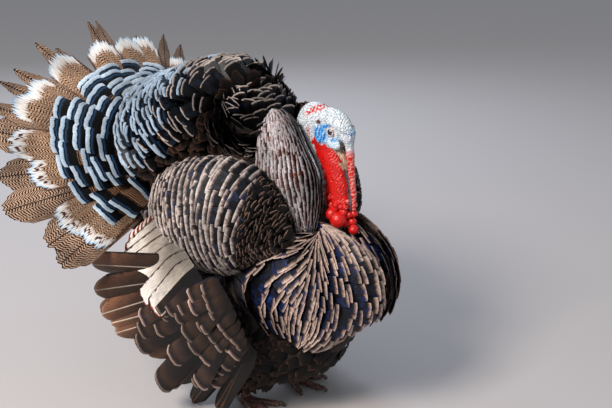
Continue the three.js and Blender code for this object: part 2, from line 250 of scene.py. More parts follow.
BELLY = Form([(0, -190, 178), (0, -70, 150), (0, 50, 156), (0, 170, 225)],
             [(80, 50, 50), (124, 80, 92), (128, 90, 98), (92, 74, 70)], rounding=4)
UNDERTAIL = Form([(0, 120, 260), (0, 220, 300), (0, 290, 350), (0, 330, 420)],
                 [(90, 60, 60), (110, 70, 60), (96, 60, 44), (60, 30, 24)], rounding=5)
MANTLE = Form([(0, 90, 560), (0, 30, 560), (0, -62, 540)], [(95, 78, 80), (90, 76, 75), (66, 66, 60)],
              rounding=3, coat=30)
STUMP = Form([before_tail(0, -14, -62), before_tail(0, 0, 0), before_tail(0, 0, 16)],
             [(58, 46, 46), (69, 69, 60), (69, 69, 60)], rounding=5)
FORMS = {"trunk": TRUNK, "crest": CREST, "belly": BELLY, "undertail": UNDERTAIL, "mantle": MANTLE,
         "stump": STUMP}
for kind, both in (("shoulder", SHOULDERS), ("cape", CAPES), ("breast", BREASTS), ("thigh", THIGHS)):
    for side, form in both.items():
        FORMS[f"{kind}_{side}"] = form
TREES = {name: BVHTree.FromPolygons(*form.mesh()) for name, form in FORMS.items() if name != "stump"}


def buried(point, own=()):
    """How deep a point lies inside the other forms, in mm."""
    deepest = 0.0
    for name, surface in TREES.items():
        if name in own:
            continue
        near, facing, _, gap = surface.find_nearest(point)
        if (Vector(point) - near).dot(facing) < 0:
            deepest = max(deepest, gap)
    return deepest


def in_frame(points):
    """Points in mm from the middle of the feet, in metres in the model's frame."""
    return np.asarray(points) * MM + np.array(SHIFT)


# Down: short fluff between the feathers, dark and without any shine.
down, tree, shader = material("down")
shader.inputs["Base Color"].default_value = linear("#2a211d")
shader.inputs["Roughness"].default_value = 0.95

body_points, body_faces = [], []
for form in FORMS.values():
    points, faces = form.mesh(form.coat)
    body_faces += [tuple(i + len(body_points) for i in face) for face in faces]
    body_points += points.tolist()
skin = mesh_object("skin", in_frame(body_points), body_faces, down)
remesh = skin.modifiers.new("remesh", "REMESH")
remesh.mode = "VOXEL"
remesh.voxel_size = 6 * MM
remesh.use_smooth_shade = True
body_skin = bpy.data.meshes.new_from_object(skin.evaluated_get(bpy.context.evaluated_depsgraph_get()))

# The head and the front of the neck are bare: a warty white skin, blue on the cheeks, red and wrinkled
# on the throat, with the long soft snood hanging over the bill and swollen red beads at its end.
HEAD_STEP = 1.0  # mm between the points of the head's surface
HEAD_LOW = np.array([-34, -226, 376.0])
HEAD_HIGH = np.array([34, -66, 618.0])


def egg(p, centre, radii, pitch=0.0):
    """How far points are outside an egg, in mm. pitch tips it nose down, in degrees."""
    q = p - np.array(centre, np.float32)
    turn = math.radians(pitch)
    y = q[..., 1] * math.cos(turn) + q[..., 2] * math.sin(turn)
    z = q[..., 2] * math.cos(turn) - q[..., 1] * math.sin(turn)
    q = np.stack([q[..., 0], y, z], -1)
    near = np.linalg.norm(q / radii, axis=-1)
    steep = np.linalg.norm(q / np.square(radii), axis=-1)
    return near * (near - 1) / np.maximum(steep, 1e-6)


def rod(p, start, end, first, last):
    """How far points are outside a rod that tapers from one radius to another."""
    start, end = np.array(start, np.float32), np.array(end, np.float32)
    way = end - start
    share = np.clip((p - start) @ way / (way @ way), 0, 1)
    return np.linalg.norm(p - start - share[..., None] * way, axis=-1) - (first + (last - first) * share)


def melt(a, b, soft):
    """The union of two shapes with a rounded valley between them."""
    mix = np.clip(0.5 + 0.5 * (b - a) / soft, 0, 1)
    return b * (1 - mix) + a * mix - soft * mix * (1 - mix)


def samples(low, counts, step):
    """The points of an even grid that starts at low, in mm."""
    lines = [low[k] + step * np.arange(counts[k]) for k in range(3)]
    return np.stack(np.meshgrid(*lines, indexing="ij"), -1).astype(np.float32)


def surface_of(shape, low, step):
    """Where a sampled shape's distance is zero: points in mm, and faces with four corners."""
    volume = openvdb.FloatGrid(100.0)
    volume.copyFromArray(shape.astype(np.float32))
    points, quads = volume.convertToQuads(isovalue=0.0)
    return points * step + low, [tuple(int(i) for i in face[::-1]) for face in quads]


grid = samples(HEAD_LOW, np.ceil((HEAD_HIGH - HEAD_LOW) / HEAD_STEP).astype(int), HEAD_STEP)
# the skull, its nape, face and cheeks
shape = egg(grid, (0, -122, 574), (21, 36, 32))
shape = melt(shape, egg(grid, (0, -104, 550), (19, 23, 36)), 10)
shape = melt(shape, egg(grid, (0, -160, 571), (17, 37, 29), 8), 10)
shape = melt(shape, egg(grid, (0, -140, 548), (19, 30, 24)), 8)
# the neck
for start, end, first, last in (((0, -114, 530), (0, -126, 490), 17, 19),
                                ((0, -126, 490), (0, -128, 440), 19, 22),
                                ((0, -128, 440), (0, -122, 400), 22, 26)):
    shape = melt(shape, rod(grid, start, end, first, last), 8)
# the throat, swollen
for centre, radii, pitch in (((0, -146, 520), (16, 28, 26), 20), ((0, -152, 490), (16, 30, 34), 25),
                             ((0, -164, 458), (15, 25, 32), 22), ((0, -174, 436), (13, 19, 20), 15)):
    shape = melt(shape, egg(grid, centre, radii, pitch), 9)
# brows, cheeks, eye sockets with their lids, and ears
EYE_Y, EYE_Z, EYE_RADIUS = -165, 562.5, 6.4  # mm
for sign in (1, -1):
    shape = melt(shape, rod(grid, (sign * 15, -157, 580), (sign * 12, -190, 569), 4.0, 3.4), 5)
    shape = melt(shape, rod(grid, (sign * 12, -190, 569), (sign * 3, -199, 562), 3.4, 3.0), 5)
    shape = melt(shape, egg(grid, (sign * 14, -171, 543), (6, 14, 10), 20), 4)
    shape = melt(shape, rod(grid, (sign * 17, -136, 566), (sign * 17, -142, 545), 5.0, 5.0), 4)
    shape = melt(shape, rod(grid, (sign * 15, -150, 563), (sign * 16, -152, 545), 3.0, 3.6), 3)
    socket = egg(grid, (sign * 21.5, EYE_Y, EYE_Z), (7.5, 8.5, 8.0))
    shape = -melt(-shape, socket, 2.5)
    ear = egg(grid, (sign * 22, -141, 577), (5.5, 3.4, 3.0), 25)
    shape = -melt(-shape, ear, 1.6)
    lid_out = np.linalg.norm(grid[..., 1:] - np.array([EYE_Y, EYE_Z], np.float32), axis=-1)
    lid_out = lid_out * np.where(grid[..., 2] > EYE_Z, 1.1, 1.0)
    lids = np.hypot(lid_out - 6.3, sign * grid[..., 0] - 17.6) - 1.5
    shape = melt(shape, lids, 1.6)
# the snood, from its base over the bill to its tip
shape = melt(shape, egg(grid, (0, -191, 556), (11, 11, 15)), 6)
snood_line = [(1, -180, 560, 7), (3, -191, 545, 8), (4, -193, 521, 7), (5, -196, 488, 5.6),
              (6, -200, 453, 4.6), (6, -201, 427, 3.6)]
for (*start, first), (*end, last) in zip(snood_line, snood_line[1:]):
    shape = melt(shape, rod(grid, start, end, first, last), 3)
# the beads: middle and radius of the large ones, then small ones that shrink up the throat
BEADS = [(-12, -181, 408, 15), (-17, -170, 418, 11), (6, -201, 389, 9), (8, -196, 402, 8),
         (10, -198, 417, 7), (-1, -189, 399, 6), (2, -194, 416, 6), (-8, -192, 432, 5),
         (-12, -164, 431, 6), (-14, -176, 434, 5.5), (-6, -189, 422, 6), (-6, -195, 443, 4.5),
         (-15, -164, 446, 5), (10, -200, 434, 5)]
SMALL_BEADS = 90
chance = np.random.default_rng(60)
for _ in range(SMALL_BEADS):
    z = chance.uniform(420, 486)
    turn = chance.uniform(-0.6, 1.0) * math.pi
    size = chance.uniform(1.8, 4.2) * (1 - 0.45 * (z - 420) / 66)
    wide = 13 + 2 * (z - 420) / 66
    ahead = (20 + (z - 430) * 0.12) * math.sin(turn)
    BEADS.append((-wide * math.cos(turn), -172 + (z - 430) * 0.28 - ahead, z, size))
for x, y, z, size in BEADS:
    low = np.maximum(((np.array([x, y, z]) - size - 8 - HEAD_LOW) / HEAD_STEP).astype(int), 0)
    high = ((np.array([x, y, z]) + size + 8 - HEAD_LOW) / HEAD_STEP).astype(int)
    part = tuple(slice(a, b) for a, b in zip(low, high))
    ball = np.linalg.norm(grid[part] - np.array([x, y, z], np.float32), axis=-1) - size
    shape[part] = melt(shape[part], ball, 1.2)
head_points, head_faces = surface_of(shape, HEAD_LOW, HEAD_STEP)

# its colours, laid down patch by patch, places in mm
x, y, z = head_points.T


def patch(cy, cz, ry, rz, soft=0.35, tilt=0.0):
    """1 inside an oval patch of both sides of the head, 0 outside."""
    turn = math.radians(tilt)
    a = ((y - cy) * math.cos(turn) + (z - cz) * math.sin(turn)) / ry
    b = ((z - cz) * math.cos(turn) - (y - cy) * math.sin(turn)) / rz
    return np.clip((1 + soft - np.hypot(a, b)) / (2 * soft), 0, 1)


def speckle(size, seed):
    """Smooth random values from 0 to 1 on the head, size mm across."""
    chance = np.random.default_rng(seed)
    total = np.zeros(len(x))
    for _ in range(10):
        way = chance.normal(0, 1, 3)
        way *= 2 * math.pi / size / np.linalg.norm(way)
        total += np.sin(head_points @ way + chance.uniform(0, 6.28))
    return np.clip(0.5 + total / 9, 0, 1)


ragged = 5 * (speckle(9, 1) - 0.5) + 3 * (speckle(4, 2) - 0.5)
red_top = np.interp(y, [-215, -182, -167, -155, -143, -133, -126, -110],
                    [536, 533, 533, 539, 541, 552, 545, 500])
red_back = np.interp(z, [400, 450, 465, 488, 506, 517, 534, 560],
                     [-150, -150, -152, -149, -141, -134, -125, -113])
red = np.clip((red_top - z + ragged) / 3, 0, 1) * np.clip((red_back - y + ragged) / 3, 0, 1)
red = np.maximum(red, patch(-130, 597, 22, 6, tilt=-28) * np.clip(speckle(6, 3) * 4 - 1.3, 0, 1))
red = np.maximum(red, patch(-119, 555, 3, 14) * np.clip(speckle(5, 4) * 4 - 1.2, 0, 1))
on_snood = y < np.interp(z, [424, 453, 488, 521, 545, 560], [-196, -195, -190.5, -186, -183, -180])
on_snood &= (z < 560) & (z > 424)
blue = np.maximum(patch(-146, 556, 13, 16, 0.3), patch(-157, 571, 10, 3.5, 0.4, -15))
blue = np.maximum(blue, patch(-172, 550, 5, 3, 0.5))
blue = np.maximum(blue, patch(-201, 556, 9, 12, 0.4) * np.clip(speckle(5, 5) * 3 - 1, 0, 1)) * (1 - red)
deep = blue * np.clip(np.sin(y * 1.1 + z * 0.25 + 2 * speckle(12, 6)) * 1.6 - 0.4, 0, 1)
folds = np.clip(np.sin((y * 0.72 + z * 0.45) * 1.9 + 7 * speckle(14, 7)) * 1.3 - 0.35, 0, 1)
colour = np.tile(linear("#d9e1e6"), (len(x), 1))


def tint(mask, code):
    """Lays a colour over the head's, as thick as mask."""
    colour[:] = colour * (1 - mask[:, None]) + np.array(linear(code)) * mask[:, None]


tint(0.6 * np.clip(speckle(5, 8) * 2.4 - 1.1, 0, 1), "#8fa6ba")
tint(0.85 * np.clip(speckle(2.4, 11) * 5 - 3.1, 0, 1), "#2c3a48")
tint(patch(-171, 543, 14, 9) * 0.8, "#c4dcec")
tint(blue * np.clip(0.55 + speckle(7, 12), 0, 1), "#3f9fe0")
# painted shade: the grooves that are pushed into the blue skin below get the deeper blue
tint(deep, "#123f8a")
tint(red, "#d8150e")
# painted shade: the creases of the red throat, pushed in below, are darkened
tint(red * folds * 0.8, "#6a0605")
tint(on_snood * 0.65 * np.clip(np.sin(z * 0.9 + y * 0.6 + 5 * speckle(8, 9)) + 0.3, 0, 1), "#e7b3ab")
tint(on_snood * np.clip((z - 520) / 22, 0, 1) * 0.7, "#cbd9e4")
rim = patch(EYE_Y, EYE_Z, 9.5, 9.5, 0.1) * (1 - patch(EYE_Y, EYE_Z, 7.4, 7.4, 0.1))
tint(rim * 0.7, "#d8b5ae")
tint(patch(-141, 577, 4.6, 3.8, 0.4), "#4a2c28")
tint(np.clip((478 - z) / 14, 0, 1) * (1 - red) * (y > -172), "#54403a")

# raised folds and warts, pushed out along the surface
facing = np.zeros_like(head_points)
quad = head_points[np.array(head_faces)]
flat = np.cross(quad[:, 2] - quad[:, 0], quad[:, 3] - quad[:, 1])
for k in range(4):
    np.add.at(facing, np.array(head_faces)[:, k], flat)
facing = unit(facing)
warts = np.clip(speckle(3.8, 10) * 2.4 - 1.0, 0, 1) * (1 - red) * np.clip((z - 500) / 30, 0, 1)
wrinkle = (folds - 0.5) * red * np.clip((z - 425) / 25, 0, 1) * (1 - on_snood)
head_points = head_points + facing * (1.3 * warts - 1.3 * wrinkle - 0.8 * deep)[:, None]


def node(tree, kind, inputs=None, **settings):
    """Adds a node. settings are its properties; inputs are its sockets' values, or sockets to link."""
    made = tree.nodes.new(kind)
    for name, value in settings.items():
        setattr(made, name, value)
    for name, value in (inputs or {}).items():
        if isinstance(value, bpy.types.NodeSocket):
            tree.links.new(value, made.inputs[name])
        else:
            made.inputs[name].default_value = value
    return made


# Bare skin, moist and full of blood: a soft sheen over its warts, and red that glows a little through
# it. Pores are drawn at twice their true size.
bare, tree, shader = material("bare_skin")
paint = node(tree, "ShaderNodeAttribute", attribute_name="skin_colour")
place = node(tree, "ShaderNodeNewGeometry").outputs["Position"]
pores = node(tree, "ShaderNodeTexNoise", {"Vector": place, "Scale": 900.0, "Detail": 2.0})
warty = node(tree, "ShaderNodeTexVoronoi", {"Vector": place, "Scale": 420.0})
bump = node(tree, "ShaderNodeBump", {"Height": pores.outputs["Fac"], "Strength": 0.35, "Distance": 0.0006})
bump = node(tree, "ShaderNodeBump", {"Height": warty.outputs["Distance"], "Normal": bump.outputs["Normal"],
                                     "Strength": 0.5, "Distance": 0.0008}, invert=True)
tree.links.new(paint.outputs["Color"], shader.inputs["Base Color"])
tree.links.new(bump.outputs["Normal"], shader.inputs["Normal"])
shader.inputs["Roughness"].default_value = 0.32
shader.inputs["Subsurface Weight"].default_value = 0.15
shader.inputs["Subsurface Radius"].default_value = (0.004, 0.0015, 0.001)
shader.inputs["Subsurface Scale"].default_value = 0.5

# The legs: a scaly shank and four padded toes on each, flat under the sole so that they stand on the
# floor. The right one is shaped and then mirrored.
STANCE = 62  # mm from the middle to each foot
TOES = {"inner": (-28, 62), "middle": (4, 82), "outer": (36, 66), "hind": (196, 34)}  # degrees, mm


def from_foot(turn, far, height):
    """A place by the right foot: far out from its middle, turn away from straight ahead."""
    turn = math.radians(turn)
    return -STANCE - far * math.sin(turn), -far * math.cos(turn), height


LEG_STEP = 1.3  # mm between the points of a leg's surface
leg_low = np.array([-118, -92, -3.0])
grid = samples(leg_low, (74, 92, 112), LEG_STEP)
leg = rod(grid, (-STANCE, 3, 14), (-63, 10, 60), 9, 8)
leg = melt(leg, rod(grid, (-63, 10, 60), (-66, 26, 150), 8, 12), 6)
leg = melt(leg, egg(grid, (-STANCE, 0, 8), (15, 19, 9)), 5)
for turn, reach in TOES.values():
    leg = melt(leg, rod(grid, from_foot(turn, 0, 8), from_foot(turn, reach, 5.5), 7.5, 5.2), 5)
    # a pad under each joint
    for far in np.arange(18, reach + 4, 19):
        leg = melt(leg, egg(grid, from_foot(turn, far, 5.5), (7, 7, 6.5)), 3)
SOLE = 0.4  # mm over the floor
leg_points, leg_faces = surface_of(np.maximum(leg, SOLE - grid[..., 2]), leg_low, LEG_STEP)
leg_faces += [tuple(i + len(leg_points) for i in face[::-1]) for face in leg_faces]
leg_points = np.vstack([leg_points, leg_points * (-1, 1, 1)])


def fill(ramp, stops):
    """Gives a colour ramp its stops: (position, hex) or (position, hex, alpha)."""
    elements = ramp.color_ramp.elements
    while len(elements) < len(stops):
        elements.new(0.5)
    for element, (position, code, *alpha) in zip(elements, stops):
        element.position = position
        element.color = linear(code, *alpha)


# Leg scales: dry keratin plates, 4 to 7 mm across, that look dull, with dark joints between them.
scaly, tree, shader = material("leg_scales")
place = node(tree, "ShaderNodeNewGeometry").outputs["Position"]
plates = node(tree, "ShaderNodeVectorMath", {0: place, 1: (150.0, 150.0, 240.0)}, operation="MULTIPLY")
cells = node(tree, "ShaderNodeTexVoronoi", {"Vector": plates.outputs[0], "Scale": 1.0},
             feature="DISTANCE_TO_EDGE")
ramp = node(tree, "ShaderNodeValToRGB", {0: cells.outputs["Distance"]})
fill(ramp, [(0.0, "#2c1d19"), (0.12, "#6d4d43"), (0.5, "#957064")])
bump = node(tree, "ShaderNodeBump", {"Height": ramp.outputs["Color"], "Strength": 0.8, "Distance": 0.001})
tree.links.new(ramp.outputs["Color"], shader.inputs["Base Color"])
tree.links.new(bump.outputs["Normal"], shader.inputs["Normal"])
shader.inputs["Roughness"].default_value = 0.5

# body, head and legs in one mesh, each with its own material
body_points = np.array([vertex.co for vertex in body_skin.vertices])
body_faces = [tuple(face.vertices) for face in body_skin.polygons]
bpy.data.objects.remove(skin)
points = np.vstack([body_points, in_frame(head_points), in_frame(leg_points)])
faces = body_faces + [tuple(i + len(body_points) for i in face) for face in head_faces]
faces += [tuple(i + len(body_points) + len(head_points) for i in face) for face in leg_faces]
skin = mesh_object("skin", points, faces, down)
skin.data.materials.append(bare)
skin.data.materials.append(scaly)
shares = [len(body_faces), len(head_faces), len(leg_faces)]
skin.data.polygons.foreach_set("material_index", np.repeat([0, 1, 2], shares))
painted = np.vstack([np.tile(linear("#2a211d"), (len(body_points), 1)), colour,
                     np.tile(linear("#957064"), (len(leg_points), 1))])
skin.data.attributes.new("skin_colour", "FLOAT_COLOR", "POINT").data.foreach_set("color", painted.ravel())
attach(skin, "root")
paired = ("shoulder", "cape", "breast", "thigh", "shank", "foot")
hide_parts("trunk", "tail_root", "back_crest", "belly", "undertail", "head", "neck", "wattle",
            "snood", "caruncles", *[f"{kind}_{side}" for kind in paired for side in ("left", "right")])

# ---------------------------------------------------------------------------------------------
# Short black bristles that stand on the crown, the nape and down the back of the neck: each is a
# thin hair-like feather, a three-sided spike.
# ---------------------------------------------------------------------------------------------
# Black bristle: bare keratin, with the faint shine of stiff hair.
bristle_look, tree, shader = material("black_bristle")
shader.inputs["Base Color"].default_value = linear("#15110f")
shader.inputs["Roughness"].default_value = 0.5
chance = np.random.default_rng(61)
bristly = (1 - red) * np.clip((z - 470) / 30, 0, 1) * (1 - patch(-160, 556, 34, 22, 0.2)) * (y > -200)
chosen = np.nonzero(bristly > chance.uniform(0.2, 1.0, len(x)))[0]
BRISTLES = 2200
chosen = chance.choice(chosen, min(BRISTLES, len(chosen)), replace=False)
spikes, spike_faces, spike_map = [], [], []
for i in chosen:
    out, root = facing[i], head_points[i]
    tall = chance.uniform(2.0, 4.5)
    lean = unit(out + chance.normal(0, 0.35, 3) + np.array([0, 0.4, -0.15]))
    one = unit(np.cross(out, (1.0, 0.3, 0.2)))
    two = np.cross(out, one)
    first = len(spikes)
    spikes += [root + 0.5 * one, root - 0.25 * one + 0.43 * two, root - 0.25 * one - 0.43 * two,
               root + lean * tall]
    spike_faces += [(first + k, first + (k + 1) % 3, first + 3) for k in range(3)]
    spike_map.append((0.5 + math.atan2(root[0], root[2] - 560) / 6.4, (root[1] + 226) / 160))
bristles = mesh_object("head_bristles", in_frame(spikes), spike_faces, bristle_look)
uv = bristles.data.uv_layers.new(name="OFBake")
# each spike has a small patch of its own in the unwrap
corners = np.repeat(np.array(spike_map), 9, axis=0)
corners += np.tile([[0, 0], [0.003, 0], [0.0015, 0.003]], (3 * len(spike_map), 1))
uv.data.foreach_set("uv", corners.ravel())
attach(bristles, "root")

# ---------------------------------------------------------------------------------------------
# The eyes: dark brown, wet and round, set in their lids.
# ---------------------------------------------------------------------------------------------
# The wet eye: clear and mirror smooth over a black pupil and a red-brown iris that darkens at its rim.
eye_look, tree, shader = material("wet_eye")
place = node(tree, "ShaderNodeNewGeometry").outputs["Position"]
split = node(tree, "ShaderNodeSeparateXYZ", {0: place})
aside = node(tree, "ShaderNodeMath", {0: split.outputs[1], 1: -(SHIFT.y + EYE_Y * MM)}, operation="ADD")
above = node(tree, "ShaderNodeMath", {0: split.outputs[2], 1: -(SHIFT.z + EYE_Z * MM)}, operation="ADD")
centre = node(tree, "ShaderNodeCombineXYZ", {0: aside.outputs[0], 1: above.outputs[0]})
radius = node(tree, "ShaderNodeVectorMath", {0: centre.outputs[0]}, operation="LENGTH")
share = node(tree, "ShaderNodeMath", {0: radius.outputs["Value"], 1: EYE_RADIUS * MM}, operation="DIVIDE")
iris = node(tree, "ShaderNodeValToRGB", {0: share.outputs[0]})
fill(iris, [(0.0, "#050303"), (0.42, "#050303"), (0.5, "#3f170c"), (0.8, "#5a2412"), (0.92, "#1a0c08")])
tree.links.new(iris.outputs["Color"], shader.inputs["Base Color"])
shader.inputs["Roughness"].default_value = 0.05
shader.inputs["Coat Weight"].default_value = 1.0
shader.inputs["Coat Roughness"].default_value = 0.02
EYE_ASIDE = 13.6  # mm from the middle of the head
ROUND = 32  # points round the eye
latitudes = np.linspace(-math.pi / 2, math.pi / 2, 17)[1:-1]
for side, sign in (("left", 1), ("right", -1)):
    points = [(sign * (EYE_ASIDE + EYE_RADIUS * math.sin(a)),
               EYE_Y + EYE_RADIUS * math.cos(a) * math.cos(t),
               EYE_Z + EYE_RADIUS * math.cos(a) * math.sin(t))
              for a in latitudes for t in np.linspace(0, 2 * np.pi, ROUND, endpoint=False)]
    last = len(points) - ROUND
    points += [(sign * (EYE_ASIDE + end * EYE_RADIUS), EYE_Y, EYE_Z) for end in (-1, 1)]
    faces = [(i + j, i + (j + 1) % ROUND, i + ROUND + (j + 1) % ROUND, i + ROUND + j)
             for i in range(0, last, ROUND) for j in range(ROUND)]
    faces += [(len(points) - 2, (j + 1) % ROUND, j) for j in range(ROUND)]
    faces += [(len(points) - 1, last + j, last + (j + 1) % ROUND) for j in range(ROUND)]
    eyeball = mesh_object(f"eyeball_{side}", in_frame(points), faces, eye_look)
    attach(eyeball, "root")
    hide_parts(f"eye_{side}")

# ---------------------------------------------------------------------------------------------
# The bill, claws and spurs: solid horn that grows out of the skin, pale on the bill and dark on the
# toes, each a tapering curve.
# ---------------------------------------------------------------------------------------------
# Horn: smooth with a satin gloss, over faint streaks of growth.
def horn(name, pale, dark, spacing):
    """A horn with growth lines along it, spacing mm apart."""
    made, tree, shader = material(name)
    place = node(tree, "ShaderNodeNewGeometry").outputs["Position"]
    long = node(tree, "ShaderNodeVectorMath", {0: place, 1: (1000 / spacing, 1000 / spacing, 60.0)},
                operation="MULTIPLY")
    streaks = node(tree, "ShaderNodeTexNoise", {"Vector": long.outputs[0], "Scale": 1.0, "Detail": 2.0})
    ramp = node(tree, "ShaderNodeValToRGB", {0: streaks.outputs["Fac"]})
    fill(ramp, [(0.35, dark), (0.65, pale)])
    tree.links.new(ramp.outputs["Color"], shader.inputs["Base Color"])
    shader.inputs["Roughness"].default_value = 0.35
    return made


def horn_piece(name, shapes, look, *replaced):
    """Tapering solids of horn joined in one mesh."""
    points, faces = [], []
    for spine, sizes in shapes:
        more, more_faces = Form(spine, sizes, rounding=6, coat=0).mesh(0, 14, 16)
        faces += [tuple(i + len(points) for i in face) for face in more_faces]
        points += more.tolist()
    made = mesh_object(name, in_frame(points), faces, look)
    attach(made, "root")
    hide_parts(*replaced)


bill_horn = horn("bill_horn", "#c9ab92", "#6d5140", spacing=1.6)
horn_piece("bill_upper", [([(0, -149, 541), (0, -168, 530), (0, -183, 514), (0, -189, 495)],
                           [(11, 8, 3), (9.5, 7.5, 2.6), (7, 6, 2.2), (2.2, 2.2, 1.5)])],
           bill_horn, "beak_upper")
horn_piece("bill_lower", [([(0, -150, 529), (0, -165, 518), (0, -177, 504), (0, -182, 494)],
                           [(11, 2.6, 6), (9.5, 2.6, 6), (6.5, 2.2, 4), (2, 1, 1)])],
           bill_horn, "beak_lower")
claw_horn = horn("claw_horn", "#6b5547", "#2c201a", spacing=2.0)
claws = []
for sign in (1, -1):
    for turn, reach in TOES.values():
        line = [from_foot(turn, reach + far, high) for far, high in ((-1, 6.5), (8, 7.5), (15, 1.8))]
        claws.append((sided(line, sign), [(3.9, 3.6, 3.6), (3.2, 2.8, 2.8), (1.2, 1.0, 1.0)]))
horn_piece("claws", claws, claw_horn,
           *[f"claw_{side}_{toe}" for side in ("left", "right") for toe in TOES])
spurs = [(sided([(58, 8, 62), (53, 22, 64), (50, 33, 70)], sign), [(6, 6, 6), (4, 4, 4), (1, 1, 1)])
         for sign in (1, -1)]
horn_piece("spurs", spurs, claw_horn, "spur_left", "spur_right")

# ---------------------------------------------------------------------------------------------
# Feathers, and first those of the two shoulders. Each is a thin vane of keratin with a shaft down
# its middle, set in the skin at its root and overlapping the one behind it like a roof tile.
# ---------------------------------------------------------------------------------------------
def lattice(place, rows, ends, step, jitter=0.12, seed=0):
    """Feather places in staggered rows. place(a, b) gives points; each row is one value of a, and its
    feathers lie in the way that a grows. step is their spacing along the row, in mm."""
    chance = np.random.default_rng(seed)
    rows = np.asarray(rows, float)
    found = {key: [] for key in ("root", "way", "out", "pitch", "map")}
    for number, a in enumerate(rows):
        b = np.linspace(*ends, 160)
        line = place(np.full(160, a), b)
        run = np.concatenate([[0], np.cumsum(np.linalg.norm(np.diff(line, axis=0), axis=1))])
        count = max(1, round(run[-1] / step))
        marks = np.arange(count) + 0.25 + 0.5 * (number % 2) + chance.uniform(-jitter, jitter, count)
        b = np.interp(np.clip(marks, 0, count) * run[-1] / count, run, b)
        a_here = a + chance.uniform(-jitter, jitter, count) * abs(rows[1] - rows[0])
        gap = (rows[number + 1] - a) if number + 1 < len(rows) else (a - rows[number - 1])
        small = 1e-2 * gap
        here = place(a_here, b)
        way = (place(a_here + small, b) - here) / abs(small)
        beside = place(a_here, b + 1e-3) - here
        out = unit(np.cross(way, beside))
        middle = line.mean(0)
        out *= np.sign(np.sum(out * (here - middle), axis=1))[:, None]
        found["root"].append(here)
        found["pitch"].append(np.linalg.norm(way, axis=1) * abs(gap))
        found["way"].append(unit(way))
        found["out"].append(out)
        found["map"].append(np.column_stack([np.full(count, (number + 0.5) / len(rows)),
                                             (b - ends[0]) / (ends[1] - ends[0])]))
    return {key: np.concatenate(parts) for key, parts in found.items()}


def keep(places, chosen):
    """Some of the places."""
    return {key: values[chosen] for key, values in places.items()}


def together(*sets):
    """Several sets of places in one."""
    return {key: np.concatenate([one[key] for one in sets]) for key in sets[0]}


def showing(places, own, depth, lengths, rises):
    """The places whose feather's middle or tip isn't buried in another form."""
    tips = places["root"] + places["way"] * lengths[:, None] + places["out"] * rises[:, None]
    return np.array([buried(Vector(tip), own) < depth for tip in tips])


